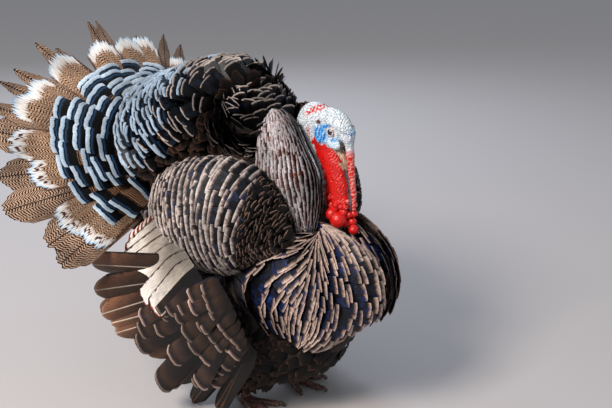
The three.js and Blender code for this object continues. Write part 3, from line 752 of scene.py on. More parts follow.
def vanes(name, places, look, length, width, rise, seed=0, along=6, across=4, drop=0.25, power=3.0,
          taper=0.0, cup=0.10, bend=0.5, jag=0.0, yaw=6, roll=6, vary=0.06, patch=0.003):
    """One mesh of many feathers. length, width and rise (how far the tip stands off the root) are in mm.
    drop and power round the tip off, taper narrows the vane toward it and jag makes its end uneven; cup
    curves the vane across and bend along. yaw and roll turn the feathers at random, in degrees, and
    vary changes their sizes. along and across are the mesh's divisions, patch its size in the unwrap."""
    base, open_at = 0.35, 0.35  # the root's share of the width, and where the vane has opened out
    chance = np.random.default_rng(seed)
    n = len(places["root"])
    length = np.broadcast_to(length, n) * (1 + chance.uniform(-vary, vary, n))
    width = np.broadcast_to(width, n) * (1 + chance.uniform(-vary, vary, n))
    rise = np.broadcast_to(rise, n)
    way, out = unit(places["way"]), places["out"]
    out = unit(out - way * np.sum(out * way, axis=1)[:, None])
    side = np.cross(way, out)
    turn = np.radians(chance.normal(0, yaw, n))[:, None]
    way, side = (way * np.cos(turn) + side * np.sin(turn),
                 side * np.cos(turn) - way * np.sin(turn))
    turn = np.radians(chance.normal(0, roll, n))[:, None]
    side, out = (side * np.cos(turn) + out * np.sin(turn),
                 out * np.cos(turn) - side * np.sin(turn))
    t = np.linspace(0, 1, along + 1)[None, :, None]
    s = np.linspace(-1, 1, across + 1)[None, None, :]
    column = 1 - drop * np.abs(s) ** power + jag * chance.uniform(-1, 0, (n, 1, across + 1))
    far = t * column
    open_share = np.clip(t / open_at, 0, 1)
    half = width[:, None, None] / 2 * (base + (1 - base) * open_share * (2 - open_share))
    half = half * (1 - taper * t ** 2)
    slope = np.clip(rise / length, -0.95, 0.95)[:, None, None]
    reach = length[:, None, None] * np.sqrt(1 - slope ** 2) * far
    height = length[:, None, None] * slope * far * (1 + bend * (1 - far)) - cup * half * s ** 2 * 2
    x = s * half * np.ones_like(far)
    points = (places["root"][:, None, None, :] + way[:, None, None, :] * reach[..., None]
              + side[:, None, None, :] * x[..., None] + out[:, None, None, :] * height[..., None])
    grid = np.arange(n * (along + 1) * (across + 1)).reshape(n, along + 1, across + 1)
    quads = np.stack([grid[:, :-1, :-1], grid[:, :-1, 1:], grid[:, 1:, 1:], grid[:, 1:, :-1]], -1)
    quads = quads.reshape(-1, 4)
    mesh = bpy.data.meshes.new(name)
    points = in_frame(points.reshape(-1, 3))
    points[:, 2] = np.maximum(points[:, 2], 0.5 * MM)
    mesh.vertices.add(len(points))
    mesh.vertices.foreach_set("co", points.ravel())
    mesh.loops.add(quads.size)
    mesh.loops.foreach_set("vertex_index", quads.ravel())
    mesh.polygons.add(len(quads))
    mesh.polygons.foreach_set("loop_start", np.arange(0, quads.size, 4))
    mesh.polygons.foreach_set("use_smooth", np.ones(len(quads), bool))
    mesh.update(calc_edges=True)
    tone = np.broadcast_to(chance.random(n)[:, None, None], far.shape)
    vane = np.stack([x * MM, (1 - t) * column * length[:, None, None] * MM, tone], -1)
    where = places.get("where", np.zeros(n))
    shape = np.stack([np.broadcast_to(s, far.shape), np.broadcast_to(t, far.shape),
                      np.broadcast_to(where[:, None, None], far.shape)], -1)
    for label, values in (("vane", vane), ("shape", shape)):
        mesh.attributes.new(label, "FLOAT_VECTOR", "POINT").data.foreach_set("vector", values.ravel())
    corner = places["map"][:, None, None, :] + np.stack(
        np.broadcast_arrays(s * patch / 2, (t - 0.5) * patch), -1)
    uv = mesh.uv_layers.new(name="OFBake")
    uv.data.foreach_set("uv", corner.reshape(-1, 2)[quads.ravel()].ravel())
    mesh.materials.append(look)
    made = bpy.data.objects.new(name, mesh)
    bpy.context.scene.collection.objects.link(made)
    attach(made, "root")
    return made


def vane_look(name, bands, reach, bars=None, ragged=1.2, rough=0.5, shade=0.5, barb=0.7, second=None,
              shaft=None, lean=0.0, rim=None, spots=None):
    """A feather's vane. bands are its colours by distance in mm from the tip, out to reach, with edges
    as uneven as ragged; where a band is clear (alpha 0) fine wavy bars show, given as two colours and
    their spacing in mm. Barbs, as strong as barb, are drawn at about twice their true size. shade is how
    much darker some feathers are at random, lean how much lighter one half of the vane is than the other,
    as painted light and shade. second is a painted sheen that tints some feathers more than others, shaft
    colours the quill, rim the vane's two side edges, and spots a broken bar across the tip of the feathers
    marked for it. Toward its root every vane is darkened as painted shade."""
    made, tree, shader = material(name)
    vane = node(tree, "ShaderNodeSeparateXYZ",
                {0: node(tree, "ShaderNodeAttribute", attribute_name="vane").outputs["Vector"]})
    shape = node(tree, "ShaderNodeSeparateXYZ",
                 {0: node(tree, "ShaderNodeAttribute", attribute_name="shape").outputs["Vector"]})
    tone = vane.outputs[2]
    # barbs: fine lines that slant outward from the shaft
    aside = node(tree, "ShaderNodeMath", {0: vane.outputs[0]}, operation="ABSOLUTE").outputs[0]
    slant = node(tree, "ShaderNodeMath", {0: aside, 1: vane.outputs[1]}, operation="ADD").outputs[0]
    seeded = node(tree, "ShaderNodeCombineXYZ", {0: vane.outputs[0], 1: slant, 2: tone}).outputs[0]
    fine = node(tree, "ShaderNodeVectorMath", {0: seeded, 1: (1400, 90, 40)}, operation="MULTIPLY")
    comb = node(tree, "ShaderNodeTexNoise", {"Vector": fine.outputs[0], "Scale": 1.0, "Detail": 1.0})
    wide = node(tree, "ShaderNodeVectorMath", {0: seeded, 1: (90, 90, 40)}, operation="MULTIPLY")
    drift = node(tree, "ShaderNodeTexNoise", {"Vector": wide.outputs[0], "Scale": 1.0, "Detail": 2.0})
    # bands from the tip, their edges as uneven as the barbs
    wobble = node(tree, "ShaderNodeMath", {0: comb.outputs["Fac"], 1: drift.outputs["Fac"]},
                  operation="ADD")
    wobble = node(tree, "ShaderNodeMath", {0: wobble.outputs[0], 1: -1.0}, operation="ADD")
    millimetres = node(tree, "ShaderNodeMath", {0: vane.outputs[1], 1: 1000.0}, operation="MULTIPLY")
    inward = node(tree, "ShaderNodeMath", {0: wobble.outputs[0], 1: 4 * ragged, 2: millimetres.outputs[0]},
                  operation="MULTIPLY_ADD")
    inward = node(tree, "ShaderNodeMath", {0: tone, 1: 1.6 * ragged, 2: inward.outputs[0]},
                  operation="MULTIPLY_ADD")
    share = node(tree, "ShaderNodeMath", {0: inward.outputs[0], 1: float(reach)}, operation="DIVIDE")
    ramp = node(tree, "ShaderNodeValToRGB", {0: share.outputs[0]})
    fill(ramp, [(at / reach, *rest) for at, *rest in bands])
    colour = ramp.outputs["Color"]
    if bars:
        dark, pale, spacing = bars
        waves = node(tree, "ShaderNodeMath",
                     {0: drift.outputs["Fac"], 1: spacing * 0.0009, 2: vane.outputs[1]},
                     operation="MULTIPLY_ADD")
        waves = node(tree, "ShaderNodeMath", {0: waves.outputs[0], 1: 2 * math.pi / (spacing * MM)},
                     operation="MULTIPLY")
        waves = node(tree, "ShaderNodeMath", {0: waves.outputs[0]}, operation="SINE")
        waves = node(tree, "ShaderNodeMath", {0: comb.outputs["Fac"], 1: 1.6, 2: waves.outputs[0]},
                     operation="MULTIPLY_ADD")
        waves = node(tree, "ShaderNodeMapRange",
                     {"Value": waves.outputs[0], "From Min": -0.2, "From Max": 1.8})
        barred = node(tree, "ShaderNodeValToRGB", {0: waves.outputs[0]})
        fill(barred, [(0.5, dark), (0.62, pale)])
        colour = node(tree, "ShaderNodeMix",
                      {0: ramp.outputs["Alpha"], 6: barred.outputs["Color"], 7: colour},
                      data_type="RGBA").outputs[2]
    # painted sheen: the second colour, an iridescent gloss screened over the vane in patches, more on some
    # feathers
    if second:
        gloss = node(tree, "ShaderNodeMapRange", {
            "Value": drift.outputs["Fac"], "From Min": 0.45, "From Max": 0.7, "To Max": 0.8}).outputs[0]
        gloss = node(tree, "ShaderNodeMath", {0: gloss, 1: tone}, operation="MULTIPLY").outputs[0]
        colour = node(tree, "ShaderNodeMix", {0: gloss, 6: colour, 7: linear(second)}, data_type="RGBA",
                      blend_type="SCREEN").outputs[2]
    if spots:
        # 17 mm from the tip and 13 mm to each side of the shaft
        across = node(tree, "ShaderNodeMath", {0: inward.outputs[0], 1: 17.0, 2: 3.5},
                      operation="COMPARE").outputs[0]
        middle = node(tree, "ShaderNodeMath", {0: aside, 1: 0.013, 2: 0.008},
                      operation="COMPARE").outputs[0]
        marked = node(tree, "ShaderNodeMath", {0: across, 1: middle}, operation="MULTIPLY").outputs[0]
        marked = node(tree, "ShaderNodeMath", {0: marked, 1: shape.outputs[2]},
                      operation="MULTIPLY").outputs[0]
        colour = node(tree, "ShaderNodeMix", {0: marked, 6: colour, 7: linear(spots)},
                      data_type="RGBA").outputs[2]
    if rim:
        edge = node(tree, "ShaderNodeMath", {0: shape.outputs[0]}, operation="ABSOLUTE").outputs[0]
        edge = node(tree, "ShaderNodeMath", {0: wobble.outputs[0], 1: -0.25, 2: edge},
                    operation="MULTIPLY_ADD")
        edge = node(tree, "ShaderNodeMapRange",
                    {"Value": edge.outputs[0], "From Min": 0.84, "From Max": 0.93}).outputs[0]
        colour = node(tree, "ShaderNodeMix", {0: edge, 6: colour, 7: linear(rim)},
                      data_type="RGBA").outputs[2]
    if shaft:
        line = node(tree, "ShaderNodeMapRange", {
            "Value": aside, "From Min": 0.0006, "From Max": 0.0014,
            "To Min": 1.0, "To Max": 0.0}).outputs[0]
        colour = node(tree, "ShaderNodeMix", {0: line, 6: colour, 7: linear(shaft)},
                      data_type="RGBA").outputs[2]
    # light and dark: from feather to feather, barb by barb, painted shade toward the root where the next
    # feather lies over it, painted light and shade across the vane, and in faded patches over the bird
    light = node(tree, "ShaderNodeMapRange", {"Value": tone, "To Min": 1 - shade, "To Max": 1.0}).outputs[0]
    place = node(tree, "ShaderNodeNewGeometry").outputs["Position"]
    faded = node(tree, "ShaderNodeTexNoise", {"Vector": place, "Scale": 16.0, "Detail": 1.0})
    for value, start, end, least, most in (
            (comb.outputs["Fac"], 0.3, 0.7, 1 - 0.5 * barb, 1 + 0.3 * barb),
            (shape.outputs[1], 0.15, 0.75, 0.35, 1.0),
            (shape.outputs[0], -1.0, 1.0, 1 - lean, 1 + 0.5 * lean),
            (faded.outputs["Fac"], 0.35, 0.65, 0.75, 1.3)):
        share = node(tree, "ShaderNodeMapRange", {
            "Value": value, "From Min": start, "From Max": end, "To Min": least, "To Max": most}).outputs[0]
        light = node(tree, "ShaderNodeMath", {0: light, 1: share}, operation="MULTIPLY").outputs[0]
    colour = node(tree, "ShaderNodeMix", {0: 1.0, 6: colour, 7: light}, data_type="RGBA",
                  blend_type="MULTIPLY").outputs[2]
    bump = node(tree, "ShaderNodeBump",
                {"Height": comb.outputs["Fac"], "Strength": min(barb, 1), "Distance": 0.0006})
    tree.links.new(colour, shader.inputs["Base Color"])
    tree.links.new(bump.outputs["Normal"], shader.inputs["Normal"])
    shader.inputs["Roughness"].default_value = rough
    shader.inputs["Specular IOR Level"].default_value = 0.25
    return made


def both_sides(places):
    """Places of the right side and of the left, each with its own half of the unwrap."""
    mirrored = {key: values.copy() for key, values in places.items()}
    for key in ("root", "way", "out"):
        mirrored[key][:, 0] *= -1
    places["map"] = places["map"] * (0.98, 0.47) + (0.01, 0.015)
    mirrored["map"] = mirrored["map"] * (0.98, 0.47) + (0.01, 0.515)
    return together(places, mirrored)


def above(point, own):
    """How far a point is outside the named forms' surfaces, or outside all of them, in mm."""
    nearest = 1e9
    for name in own or TREES:
        near, facing, _, gap = TREES[name].find_nearest(point)
        nearest = min(nearest, gap if (Vector(point) - near).dot(facing) > 0 else -gap)
    return nearest


def coat_of(name, places, own, look, reach, least, most, width, stand, deep=12, **more):
    """Feathers on both sides wherever they show, reach times the rows' spacing long. Their tips stand
    off the form's surface by stand mm."""
    lengths = np.clip(places["pitch"] * reach, least, most)
    shown = showing(places, own, deep, lengths, np.full(len(lengths), 8.0))
    places, lengths = keep(places, shown), lengths[shown]
    flat = places["root"] + places["way"] * lengths[:, None]
    rises = stand - np.array([above(Vector(tip), own) for tip in flat])
    places["pitch"], places["rise"] = lengths, np.clip(rises, -0.5 * lengths, 0.8 * lengths)
    places = both_sides(places)
    made = vanes(name, places, look, places["pitch"], width, places["rise"], **more)
    return made


# Shoulder feathers: black, with a broad silvery edge at the tip and a faint blue sheen painted in.
shoulder_look = vane_look("shoulder_feather", [
    (0, "#f6eeea"), (3, "#d6c6be"), (5.4, "#85726a"), (8.5, "#0d0908"), (13, "#060404"),
    (24, "#120b09")], reach=24, rough=0.5, shade=0.4, second="#20304f", ragged=2.4, barb=1.3)
# Those at the front of the shoulder: small and black, with a thin tan edge that looks like scales.
fine_look = vane_look("shoulder_front_feather", [
    (0, "#c9aa98"), (1.6, "#a08170"), (2.6, "#1a120f"), (8, "#0a0706"), (20, "#120c09")], reach=20,
    rough=0.55, shade=0.6)


def around(form, rows, wide, seed):
    """Feather places in rings round a form."""
    return lattice(lambda a, b: form.place(a, b, form.coat), rows, (0, 2 * np.pi), wide, seed=seed)


shoulder = SHOULDERS["right"]
coat_of("shoulder_coat", around(shoulder, 0.2 + 0.77 * np.linspace(0, 1, 23), wide=24, seed=3),
        ("shoulder_right",), shoulder_look, reach=3.2, least=26, most=56, width=42, stand=4, seed=4,
        along=5, drop=0.035, power=5, roll=3, yaw=3, cup=0.03)
coat_of("shoulder_front_coat", around(shoulder, np.linspace(0.02, 0.24, 15), wide=11, seed=17),
        ("shoulder_right",), fine_look, reach=3.4, least=18, most=34, width=15, stand=3, seed=18,
        along=4, drop=0.1, power=3, roll=14, yaw=14)

# ---------------------------------------------------------------------------------------------
# The cape: fine narrow feathers that cover the neck's two puffed lobes. Their silvery tips lie in
# long lines from the nape down to the breast, and some carry a painted coppery sheen.
# ---------------------------------------------------------------------------------------------
# Cape feathers: black, tipped with silver that shines softly, with a copper sheen painted in.
cape_look = vane_look("cape_feather", [
    (0, "#f1f0f5"), (3.2, "#cfc5c9"), (5.4, "#7a6560"), (7.5, "#120c0c"), (16, "#0a0606")], reach=16,
    rough=0.45, shade=0.4, second="#6a2c12", ragged=2.2, barb=1.2)
cape = CAPES["right"]
# turn grows from the front of the lobe, round its outer side, to its back
cape_rows = np.linspace(-0.35, math.pi + 0.5, 30)
cape_places = lattice(lambda a, b: cape.place(b, math.pi / 2 - a, 9), cape_rows, (0.03, 0.97), step=17,
                      seed=5)
coat_of("cape_coat", cape_places, ("cape_right",),
        cape_look, reach=3.4, least=15, most=30, width=26, stand=3, deep=10, seed=6,
        along=5, drop=0.03, power=4, roll=3, yaw=3, cup=0.03)

# a few more run down the back of the neck between the lobes
NECK_FEATHERS = 170
chance = np.random.default_rng(26)
behind = (head_points[:, 2] > 392) & (head_points[:, 2] < 474) & (head_points[:, 1] > -158)
behind &= (head_points[:, 1] < -112) & (red < 0.3) & (head_points[:, 0] < 0)
chosen = chance.choice(np.nonzero(behind)[0], NECK_FEATHERS, replace=False)
way = np.array([0, 0.5, -0.85]) + chance.normal(0, 0.08, (NECK_FEATHERS, 3))
way = unit(way - facing[chosen] * np.sum(way * facing[chosen], axis=1)[:, None])
neck_places = {"root": head_points[chosen], "way": way, "out": facing[chosen],
               "pitch": np.full(NECK_FEATHERS, 17.0),
               "map": (head_points[chosen, 1:] - (-160, 390)) / (50, 86)}
neck_coat = vanes("neck_coat", both_sides(neck_places), cape_look, length=17, width=11, rise=3.5, seed=27,
                  along=4, drop=0.08, power=3, roll=6, yaw=8, cup=0.03)

# ---------------------------------------------------------------------------------------------
# The breast: square-tipped feathers, black with a painted blue sheen, each with a pale tan edge. They
# lie in long lines that run out and down from under the cape.
# ---------------------------------------------------------------------------------------------
# Breast feathers: black, with a wide pale tan edge and a blue sheen painted on some.
breast_look = vane_look("breast_feather", [
    (0, "#f0dccf"), (3.4, "#d0b3a4"), (6, "#846b60"), (9, "#080607"), (14, "#0b1022"),
    (26, "#100c0c")], reach=26, rough=0.42, shade=0.4, second="#143470", ragged=2.2, barb=1.3)
breast = BREASTS["right"]
breast_surface = BVHTree.FromPolygons(*breast.mesh(breast.coat, 60, 72))
breast_middle = np.array([-52, -130, 270.0])
breast_pole = unit(np.array([-51, -163, 390.0]) - breast_middle)
breast_start = -unit(np.cross(breast_pole, (-1.0, 0, 0)))
breast_aside = -np.cross(breast_pole, breast_start)


def on_breast(a, b):
    """Where a line from the middle of the breast meets its surface: b away from a pole under the cape,
    a round that pole."""
    a, b = np.broadcast_arrays(np.asarray(a, float), np.asarray(b, float))
    around_pole = np.cos(a)[..., None] * breast_start + np.sin(a)[..., None] * breast_aside
    way = np.cos(b)[..., None] * breast_pole + np.sin(b)[..., None] * around_pole
    found = [breast_surface.ray_cast(Vector(breast_middle), Vector(line))[0] or Vector(breast_middle)
             for line in way.reshape(-1, 3)]
    return np.array(found).reshape(a.shape + (3,))


# the lines stand closest at the front
breast_rows = -np.interp(np.linspace(0, 1, 36), [0, 0.18, 0.42, 0.88, 1], [-1.6, 0.6, 2.4, 4.1, 4.7])
coat_of("breast_coat", lattice(on_breast, breast_rows, (0.12, 2.5), step=21, seed=7), ("breast_right",),
        breast_look, reach=3.2, least=18, most=50, width=32, stand=4, seed=8,
        along=5, drop=0.035, power=5, roll=3, yaw=3, cup=0.03)

# ---------------------------------------------------------------------------------------------
# The crest: the feathers of the back, raised in rows so that only their tips show, as black blades
# edged with a thin pale line. The edge widens and turns blue-white toward the tail.
# ---------------------------------------------------------------------------------------------
# Back feathers: black, a little glossy, with a painted blue sheen and a thin pale line along the tip.
crest_look = vane_look("back_feather", [
    (0, "#ded5d0"), (3, "#a8978e"), (4.2, "#0a0707"), (14, "#040303"), (30, "#070505")], reach=30,
    rough=0.4, shade=0.5, second="#16263c")
# Rump feathers: black, with a blue-white edge and a stripe of dark blue metal inside it.
rump_look = vane_look("rump_feather", [
    (0, "#cfdfee"), (5, "#93adc8"), (6.4, "#050506"), (12, "#050506"), (13, "#1f3c60"), (16, "#122338"),
    (18, "#050405"), (34, "#070505")], reach=34, rough=0.38, shade=0.4)
# Downy feathers: loose dark brown barbs without shine, lighter at their ends.
downy_look = vane_look("downy_feather", [
    (0, "#7a5540"), (4, "#3c261b"), (9, "#120b08"), (30, "#080504")], reach=30,
    rough=0.75, shade=0.6, ragged=3.0, barb=1.0)


def standing(form, own, rows, wide, depth, length, seed):
    """Places of feathers that stand up from a form, their tips a little above its surface."""
    places = lattice(lambda a, b: form.place(a, b, depth), rows, (0, 2 * np.pi), wide, jitter=0.3,
                     seed=seed)
    front = np.clip((np.linalg.norm(places["root"] - TAIL_BASE, axis=1) - 230) / 60, 0, 1)[:, None]
    upward = np.array([0, 0.35, 1.0])
    upward = upward - places["out"] * (places["out"] @ upward)[:, None]
    places["way"] = unit(places["way"] * (1 - front) + front * unit(upward))
    tall = np.full(len(places["root"]), length * 0.8)
    places = keep(places, showing(places, own, depth - 6, tall, tall * 0.9))
    flat = places["root"] + places["way"] * length * 0.6
    places["rise"] = np.clip(6 - np.array([above(Vector(tip), own) for tip in flat]), 10, 0.92 * length)
    places["pitch"] = np.full(len(flat), float(length))
    return places


crest = standing(CREST, ("crest",), np.linspace(0.97, 0.03, 32), wide=24, depth=34, length=46, seed=9)
mantle = standing(MANTLE, ("mantle",), np.linspace(0.04, 0.97, 19), wide=20, depth=30, length=42,
                  seed=22)
# the map's second value runs round the crest: its sine is 1 on top and -1 below
round_crest = np.sin(2 * np.pi * crest["map"][:, 1])
under = round_crest < -0.25 + np.random.default_rng(23).normal(0, 0.1, len(round_crest))
from_base = np.linalg.norm(crest["root"] - TAIL_BASE, axis=1)
from_base = from_base + np.random.default_rng(19).normal(0, 22, len(from_base))
near_fan = from_base < 195 + 40 * round_crest
for name, places, look, wide, seed, shape in (
        ("crest_coat", keep(crest, ~near_fan & ~under), crest_look, 29, 10, dict(drop=0.05, power=5)),
        ("mantle_coat", mantle, crest_look, 26, 24, dict(drop=0.07, power=4)),
        ("rump_coat", keep(crest, near_fan & ~under), rump_look, 33, 20, dict(drop=0.05, power=5)),
        ("crest_down_coat", keep(crest, under), downy_look, 24, 25, dict(drop=0.2, power=2, jag=0.25))):
    feathers = vanes(name, places, look, places["pitch"], wide, places["rise"], seed=seed, along=5,
                     bend=0.1, roll=8, yaw=9, cup=0.03, **shape)

# ---------------------------------------------------------------------------------------------
# The short tail coverts: rings of broad feathers in front of the fan. From the tip each is blue-white,
# has a thin black line, a stripe of blue-bronze metal and a black band, and is barred brown below.
# ---------------------------------------------------------------------------------------------
# Short covert: bands with sharp edges, the blue-bronze one dark and glossy, the tip pale and matt.
covert_look = vane_look("short_tail_covert", [
    (0, "#dceaf6"), (8.5, "#a9c2db"), (9.5, "#050506"), (12, "#050506"), (13, "#2c4f73"), (16, "#14243a"),
    (18, "#070606"), (34, "#090707"), (37, "#3b2a20", 0.0)], reach=60, bars=("#1d120d", "#9a7458", 5.0),
    rough=0.4, shade=0.3, ragged=0.9)


def fan_point(turn, far, above):
    """A point of the fan: turn from its middle, far from its root and above its plane."""
    turn, far, above = np.broadcast_arrays(turn, far, above)
    return TAIL_BASE + np.stack([
        far * np.sin(turn),
        far * (np.cos(turn) * math.sin(TAIL_TILT) + TAIL_SWEEP * np.sin(turn) ** 2)
        - above * math.cos(TAIL_TILT),
        far * np.cos(turn) * math.cos(TAIL_TILT) + above * math.sin(TAIL_TILT),
    ], -1)


def fan_places(count, spread, inner, outer, low, high, seed, shift=0.0, ragged=0.0):
    """Feathers of one ring: from inner to outer along the fan, low and high above its plane."""
    chance = np.random.default_rng(seed)
    half = math.radians(spread)
    turn = np.linspace(-half, half, count) + shift * 2 * half / (count - 1)
    turn = turn + chance.uniform(-0.15, 0.15, count) * 2 * half / (count - 1)
    shingle = 0.5 * (np.arange(count) % 2)
    root = fan_point(turn, inner, low + shingle)
    tip = fan_point(turn, outer + chance.uniform(-ragged, ragged, count), high + shingle)
    beside = fan_point(turn + 1e-3, outer, high) - fan_point(turn - 1e-3, outer, high)
    out = unit(np.cross(beside, tip - root))
    out *= np.sign(out @ np.array([0, -math.cos(TAIL_TILT), math.sin(TAIL_TILT)]))[:, None]
    return {"root": root, "way": unit(tip - root), "out": out,
            "pitch": np.linalg.norm(tip - root, axis=1),
            "map": np.column_stack([(turn / half + 1) / 2 * 0.96 + 0.02, np.full(count, 0.5)])}


rings = []
for number in range(5):
    ring = fan_places(17 - number, spread=114, inner=110 - 14 * number, outer=236 - 19 * number,
                      low=10 + 3 * number, high=11 + 8 * number, seed=20 + number,
                      shift=0.5 * (number % 2), ragged=5)
    ring["map"][:, 1] = 0.1 + 0.2 * number
    rings.append(ring)
places = together(*rings)
short_coverts = vanes("tail_coverts_short_coat", places, covert_look, places["pitch"], width=58, rise=1,
                      seed=11, along=14, across=10, drop=0.06, power=4, cup=0.12, jag=0.012, yaw=6, roll=7,
                      vary=0.03, patch=0.05)
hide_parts("tail_coverts_short")

# ---------------------------------------------------------------------------------------------
# The long tail coverts: one ring of broad feathers, finely barred cream and brown, each with a wide
# white fringe at its tip that ends in loose barbs. Its bars are drawn a little coarser than life.
# ---------------------------------------------------------------------------------------------
# Long covert: soft and matt, so the white fringe looks like silk paper; its loose end is painted blue,
# as shade.
long_look = vane_look("long_tail_covert", [
    (0, "#8db8dc"), (5, "#cfdfec"), (12, "#f2f1ef"), (26, "#dcd2cb"), (30, "#8a7260", 0.0)], reach=120,
    bars=("#2b130b", "#cfa98a", 5.8), rough=0.55, shade=0.2, ragged=2.2, spots="#4a1c10", rim="#5a3a2a")
places = fan_places(16, spread=119, inner=72, outer=300, low=5, high=5, seed=31, ragged=9)
# the lowest feathers on each side carry rust spots in their white
places["where"] = (np.abs(places["map"][:, 0] - 0.5) > 0.27).astype(float)
places["map"][:, 1] = 0.5
long_coverts = vanes("tail_coverts_long_coat", places, long_look, places["pitch"], width=70, rise=1,
                     seed=12, along=20, across=44, drop=0.11, power=2.4, cup=0.07, jag=0.06, yaw=4, roll=4,
                     vary=0.02, patch=0.05)
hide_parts("tail_coverts_long")

# ---------------------------------------------------------------------------------------------
# The tail feathers: twenty-two stiff quills that hold the fan open, barred brown and cream all over
# on dark shafts. The tips of the middle ones are worn to points.
# ---------------------------------------------------------------------------------------------
# Tail feather: firm and matt, all fine bars, drawn a little coarser than life.
quill_look = vane_look("tail_feather", [(0, "#8d7a6c", 0.0), (200, "#8d7a6c", 0.0)], reach=200,
                       bars=("#1d0d08", "#c8a58b", 5.6), rough=0.55, shade=0.3, shaft="#1c110c")
places = fan_places(22, spread=124, inner=60, outer=336, low=0, high=0, seed=41, ragged=15)
aside = np.abs(places["map"][:, 0] - 0.5) * 2
places["map"][:, 1] = 0.5
places["pitch"] = places["pitch"] + 14 * aside
worn = aside < 0.52
for name, chosen, wide, shape in (
        ("tail_quills_worn_coat", worn, 66, dict(drop=0.26, power=1.35, taper=0.3)),
        ("tail_quills_coat", ~worn, 84, dict(drop=0.14, power=2.2, taper=0.12))):
    quills = vanes(name, keep(places, chosen), quill_look, places["pitch"][chosen], wide, rise=1,
                   seed=13, along=24, across=24, cup=0.06, jag=0.03, yaw=4, roll=4, vary=0.03,
                   patch=0.05, **shape)
    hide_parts("tail_quills")

# ---------------------------------------------------------------------------------------------
# The wings, half open and lowered: white tertials edged with rust lie over coppery secondaries with
# pale shafts, five tiers of squarish dark coverts over both, and the dark primaries drag on the floor.
# ---------------------------------------------------------------------------------------------
LAP = 0.6  # mm that each large feather lies outside the one before


def wing_places(count, roots, tips, ragged=3.0):
    """Feathers of the right wing, from the body outward. Their lengths vary by ragged mm."""
    chance = np.random.default_rng(50)
    u = (np.arange(count) + 0.5) / count
    root, tip = curve_at(sided(roots, -1), u), curve_at(sided(tips, -1), u)
    length = np.linalg.norm(tip - root, axis=1) + chance.uniform(-ragged, ragged, count)
    return {"root": root - np.outer(np.arange(count) * LAP, (1, 0, 0)), "way": unit(tip - root),
            "out": np.tile((-1.0, 0.0, 0.0), (count, 1)), "pitch": length,
            "map": np.column_stack([u * 0.9 + 0.05, np.full(count, 0.5)])}


# the left wing's feathers, each kind from the body outward, in mm
WINGS = {
    "secondaries": dict(count=8, ragged=9.0, roots=[(176, 30, 318), (170, -25, 280), (166, -55, 240)],
                        tips=[(222, 232, 292), (228, 224, 210), (214, 186, 150), (186, 124, 116)]),
    "primaries": dict(count=9, roots=[(158, -75, 215), (154, -95, 205), (150, -112, 190)],
                      tips=[(152, 112, 66), (126, 92, 4), (110, 60, -4), (116, 6, 22)]),
    "tertials": dict(count=9, roots=[(160, 92, 420), (182, 30, 360), (188, -30, 310)],
                     tips=[(184, 178, 350), (196, 168, 268), (203, 112, 222), (198, 40, 228)]),
    "coverts": dict(count=8, ragged=9.0, roots=[(180, -60, 322), (178, -95, 280), (168, -118, 222)],
                    tips=[(204, 110, 200), (202, 118, 110), (184, 66, 78), (176, -40, 118)]),
}
# Secondary: firm, with a coppery satin sheen, one half of it painted darker as shade; a pale line runs
# inside the black edge of its tip.
secondary_look = vane_look("secondary_feather", [
    (0, "#0e0806"), (1.4, "#0e0806"), (2.6, "#c09a82"), (5, "#8f6750"), (16, "#7f563f"), (50, "#60402f"),
    (90, "#3a261b")], reach=90, rough=0.4, shade=0.45, shaft="#d8c4b4", ragged=0.8, lean=0.85, rim="#1a0f0a")
# Primary: almost black, stiff and slightly glossy, worn brown at the tip; one half is painted a little
# darker, as shade.
primary_look = vane_look("primary_feather", [
    (0, "#8f6c58"), (3, "#4a342a"), (6, "#120c0a"), (30, "#1a110d"), (120, "#120b08")], reach=120,
    rough=0.45, shade=0.4, shaft="#8b5a34", lean=0.4)
# Tertial: soft matt white with a rust edge that darkens outward.
tertial_look = vane_look("tertial_feather", [
    (0, "#120806"), (4.5, "#2a0f08"), (7, "#6a2a15"), (9, "#8a4428"), (11, "#efe9e2"), (60, "#e2dad0"),
    (90, "#c9bdb0")], reach=90, rough=0.6, shade=0.12, ragged=1.6, rim="#3a150b")
# Barred tertial: the same soft white, crossed by broad rust bars.
rust_look = vane_look("barred_tertial_feather", [(0, "#8a4425", 0.0), (90, "#8a4425", 0.0)], reach=90,
                      bars=("#7a3119", "#e2d5ca", 13.0), rough=0.6, shade=0.1, ragged=2.0)
# Greater covert: dark and glossy with a bronze middle, a painted blue sheen and one half painted darker
# as shade, and a pale line inside the black of its edge.
covert_dark = vane_look("greater_covert", [
    (0, "#0a0706"), (1.8, "#0a0706"), (3, "#d0b5a6"), (5, "#9a7d6f"), (9, "#3a2a23"), (12, "#0f0a08"),
    (26, "#46301f"), (50, "#21140f"), (90, "#140d0a")], reach=90,
    rough=0.4, shade=0.5, ragged=0.7, second="#12203c", lean=0.5)


def wing_coat(name, places, look, wide, replaced, seed, rise=1, **shape):
    """Large feathers of both wings, in place of the part's plain ones."""
    places = both_sides(places)
    details = dict(along=14, across=12, cup=0.08, yaw=2.5, roll=4, vary=0.02, jag=0.006, patch=0.04)
    made = vanes(name, places, look, places["pitch"], wide, rise, seed=seed, **{**details, **shape})
    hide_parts(f"wing_{replaced}_left", f"wing_{replaced}_right")


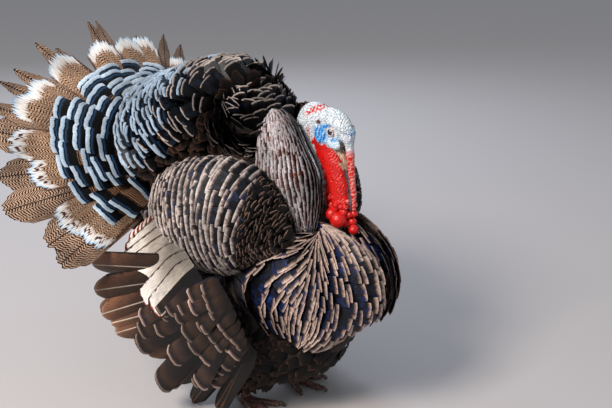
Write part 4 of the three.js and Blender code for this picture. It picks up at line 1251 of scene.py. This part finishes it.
wing_coat("wing_primaries_coat", wing_places(**WINGS["primaries"]), primary_look, wide=34,
          replaced="primaries", seed=51, drop=0.12, power=2.0, taper=0.2)
wing_coat("wing_secondaries_coat", wing_places(**WINGS["secondaries"]), secondary_look, wide=54,
          replaced="secondaries", seed=52, drop=0.15, power=2.4, cup=0.16, roll=8)
tertials = wing_places(**WINGS["tertials"])
number = np.arange(WINGS["tertials"]["count"])
wing_coat("wing_tertials_barred_coat", keep(tertials, number < 1), rust_look, wide=26,
          replaced="tertials", seed=53, drop=0.1, power=3.0)
wing_coat("wing_tertials_coat", keep(tertials, (number >= 1) & (number < 7)), tertial_look, wide=46,
          replaced="tertials", seed=54, drop=0.08, power=3.0, yaw=4, roll=2, cup=0.01)
wing_coat("wing_tertials_dark_coat", keep(tertials, number >= 7), covert_dark, wide=42,
          replaced="tertials", seed=55, drop=0.08, power=4.0)
for tier, share in enumerate((1.0, 0.76, 0.54, 0.36, 0.2)):
    coverts = wing_places(**WINGS["coverts"])
    coverts["pitch"] = coverts["pitch"] * share
    coverts["root"] = coverts["root"] - (2.5 * tier, 0, 0)
    coverts["map"][:, 1] = 0.15 + 0.17 * tier
    wing_coat(f"wing_coverts_coat_{tier}", coverts, covert_dark, wide=50 - 5 * tier,
              replaced="coverts", seed=56 + tier, rise=5, drop=0.05, power=4.5, yaw=7, roll=7)

# ---------------------------------------------------------------------------------------------
# The down of thighs and belly, the back between the lobes and the feathers under the tail: soft
# narrow dark brown feathers with loose edges.
# ---------------------------------------------------------------------------------------------
sets = [around(THIGHS["right"], np.linspace(0.04, 0.97, 15), wide=20, seed=14)]
for form, rows, wide in ((BELLY, 22, 22), (TRUNK, 30, 22), (UNDERTAIL, 14, 24)):
    sets.append(around(form, np.linspace(0.04, 0.96, rows), wide, seed=15))
for one in sets[1:]:
    one.update(keep(one, one["root"][:, 0] <= 6))
places = together(*sets)
high = (places["root"][:, 2] > 415) & (places["root"][:, 1] < 120)
coat_of("fluff_coat", keep(places, ~high), (), downy_look, reach=0, least=44, most=44, width=24, stand=5,
        deep=20, seed=16, along=5, across=6, drop=0.2, power=2, jag=0.25, yaw=14, roll=12, vary=0.2)
coat_of("back_coat", keep(places, high), (), downy_look, reach=0, least=46, most=46, width=22, stand=9,
        deep=20, seed=21, along=5, across=6, drop=0.1, power=3, jag=0.1, yaw=14, roll=12, vary=0.2)

size = {"cad": cad_box, "shown": [list(corner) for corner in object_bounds()]}
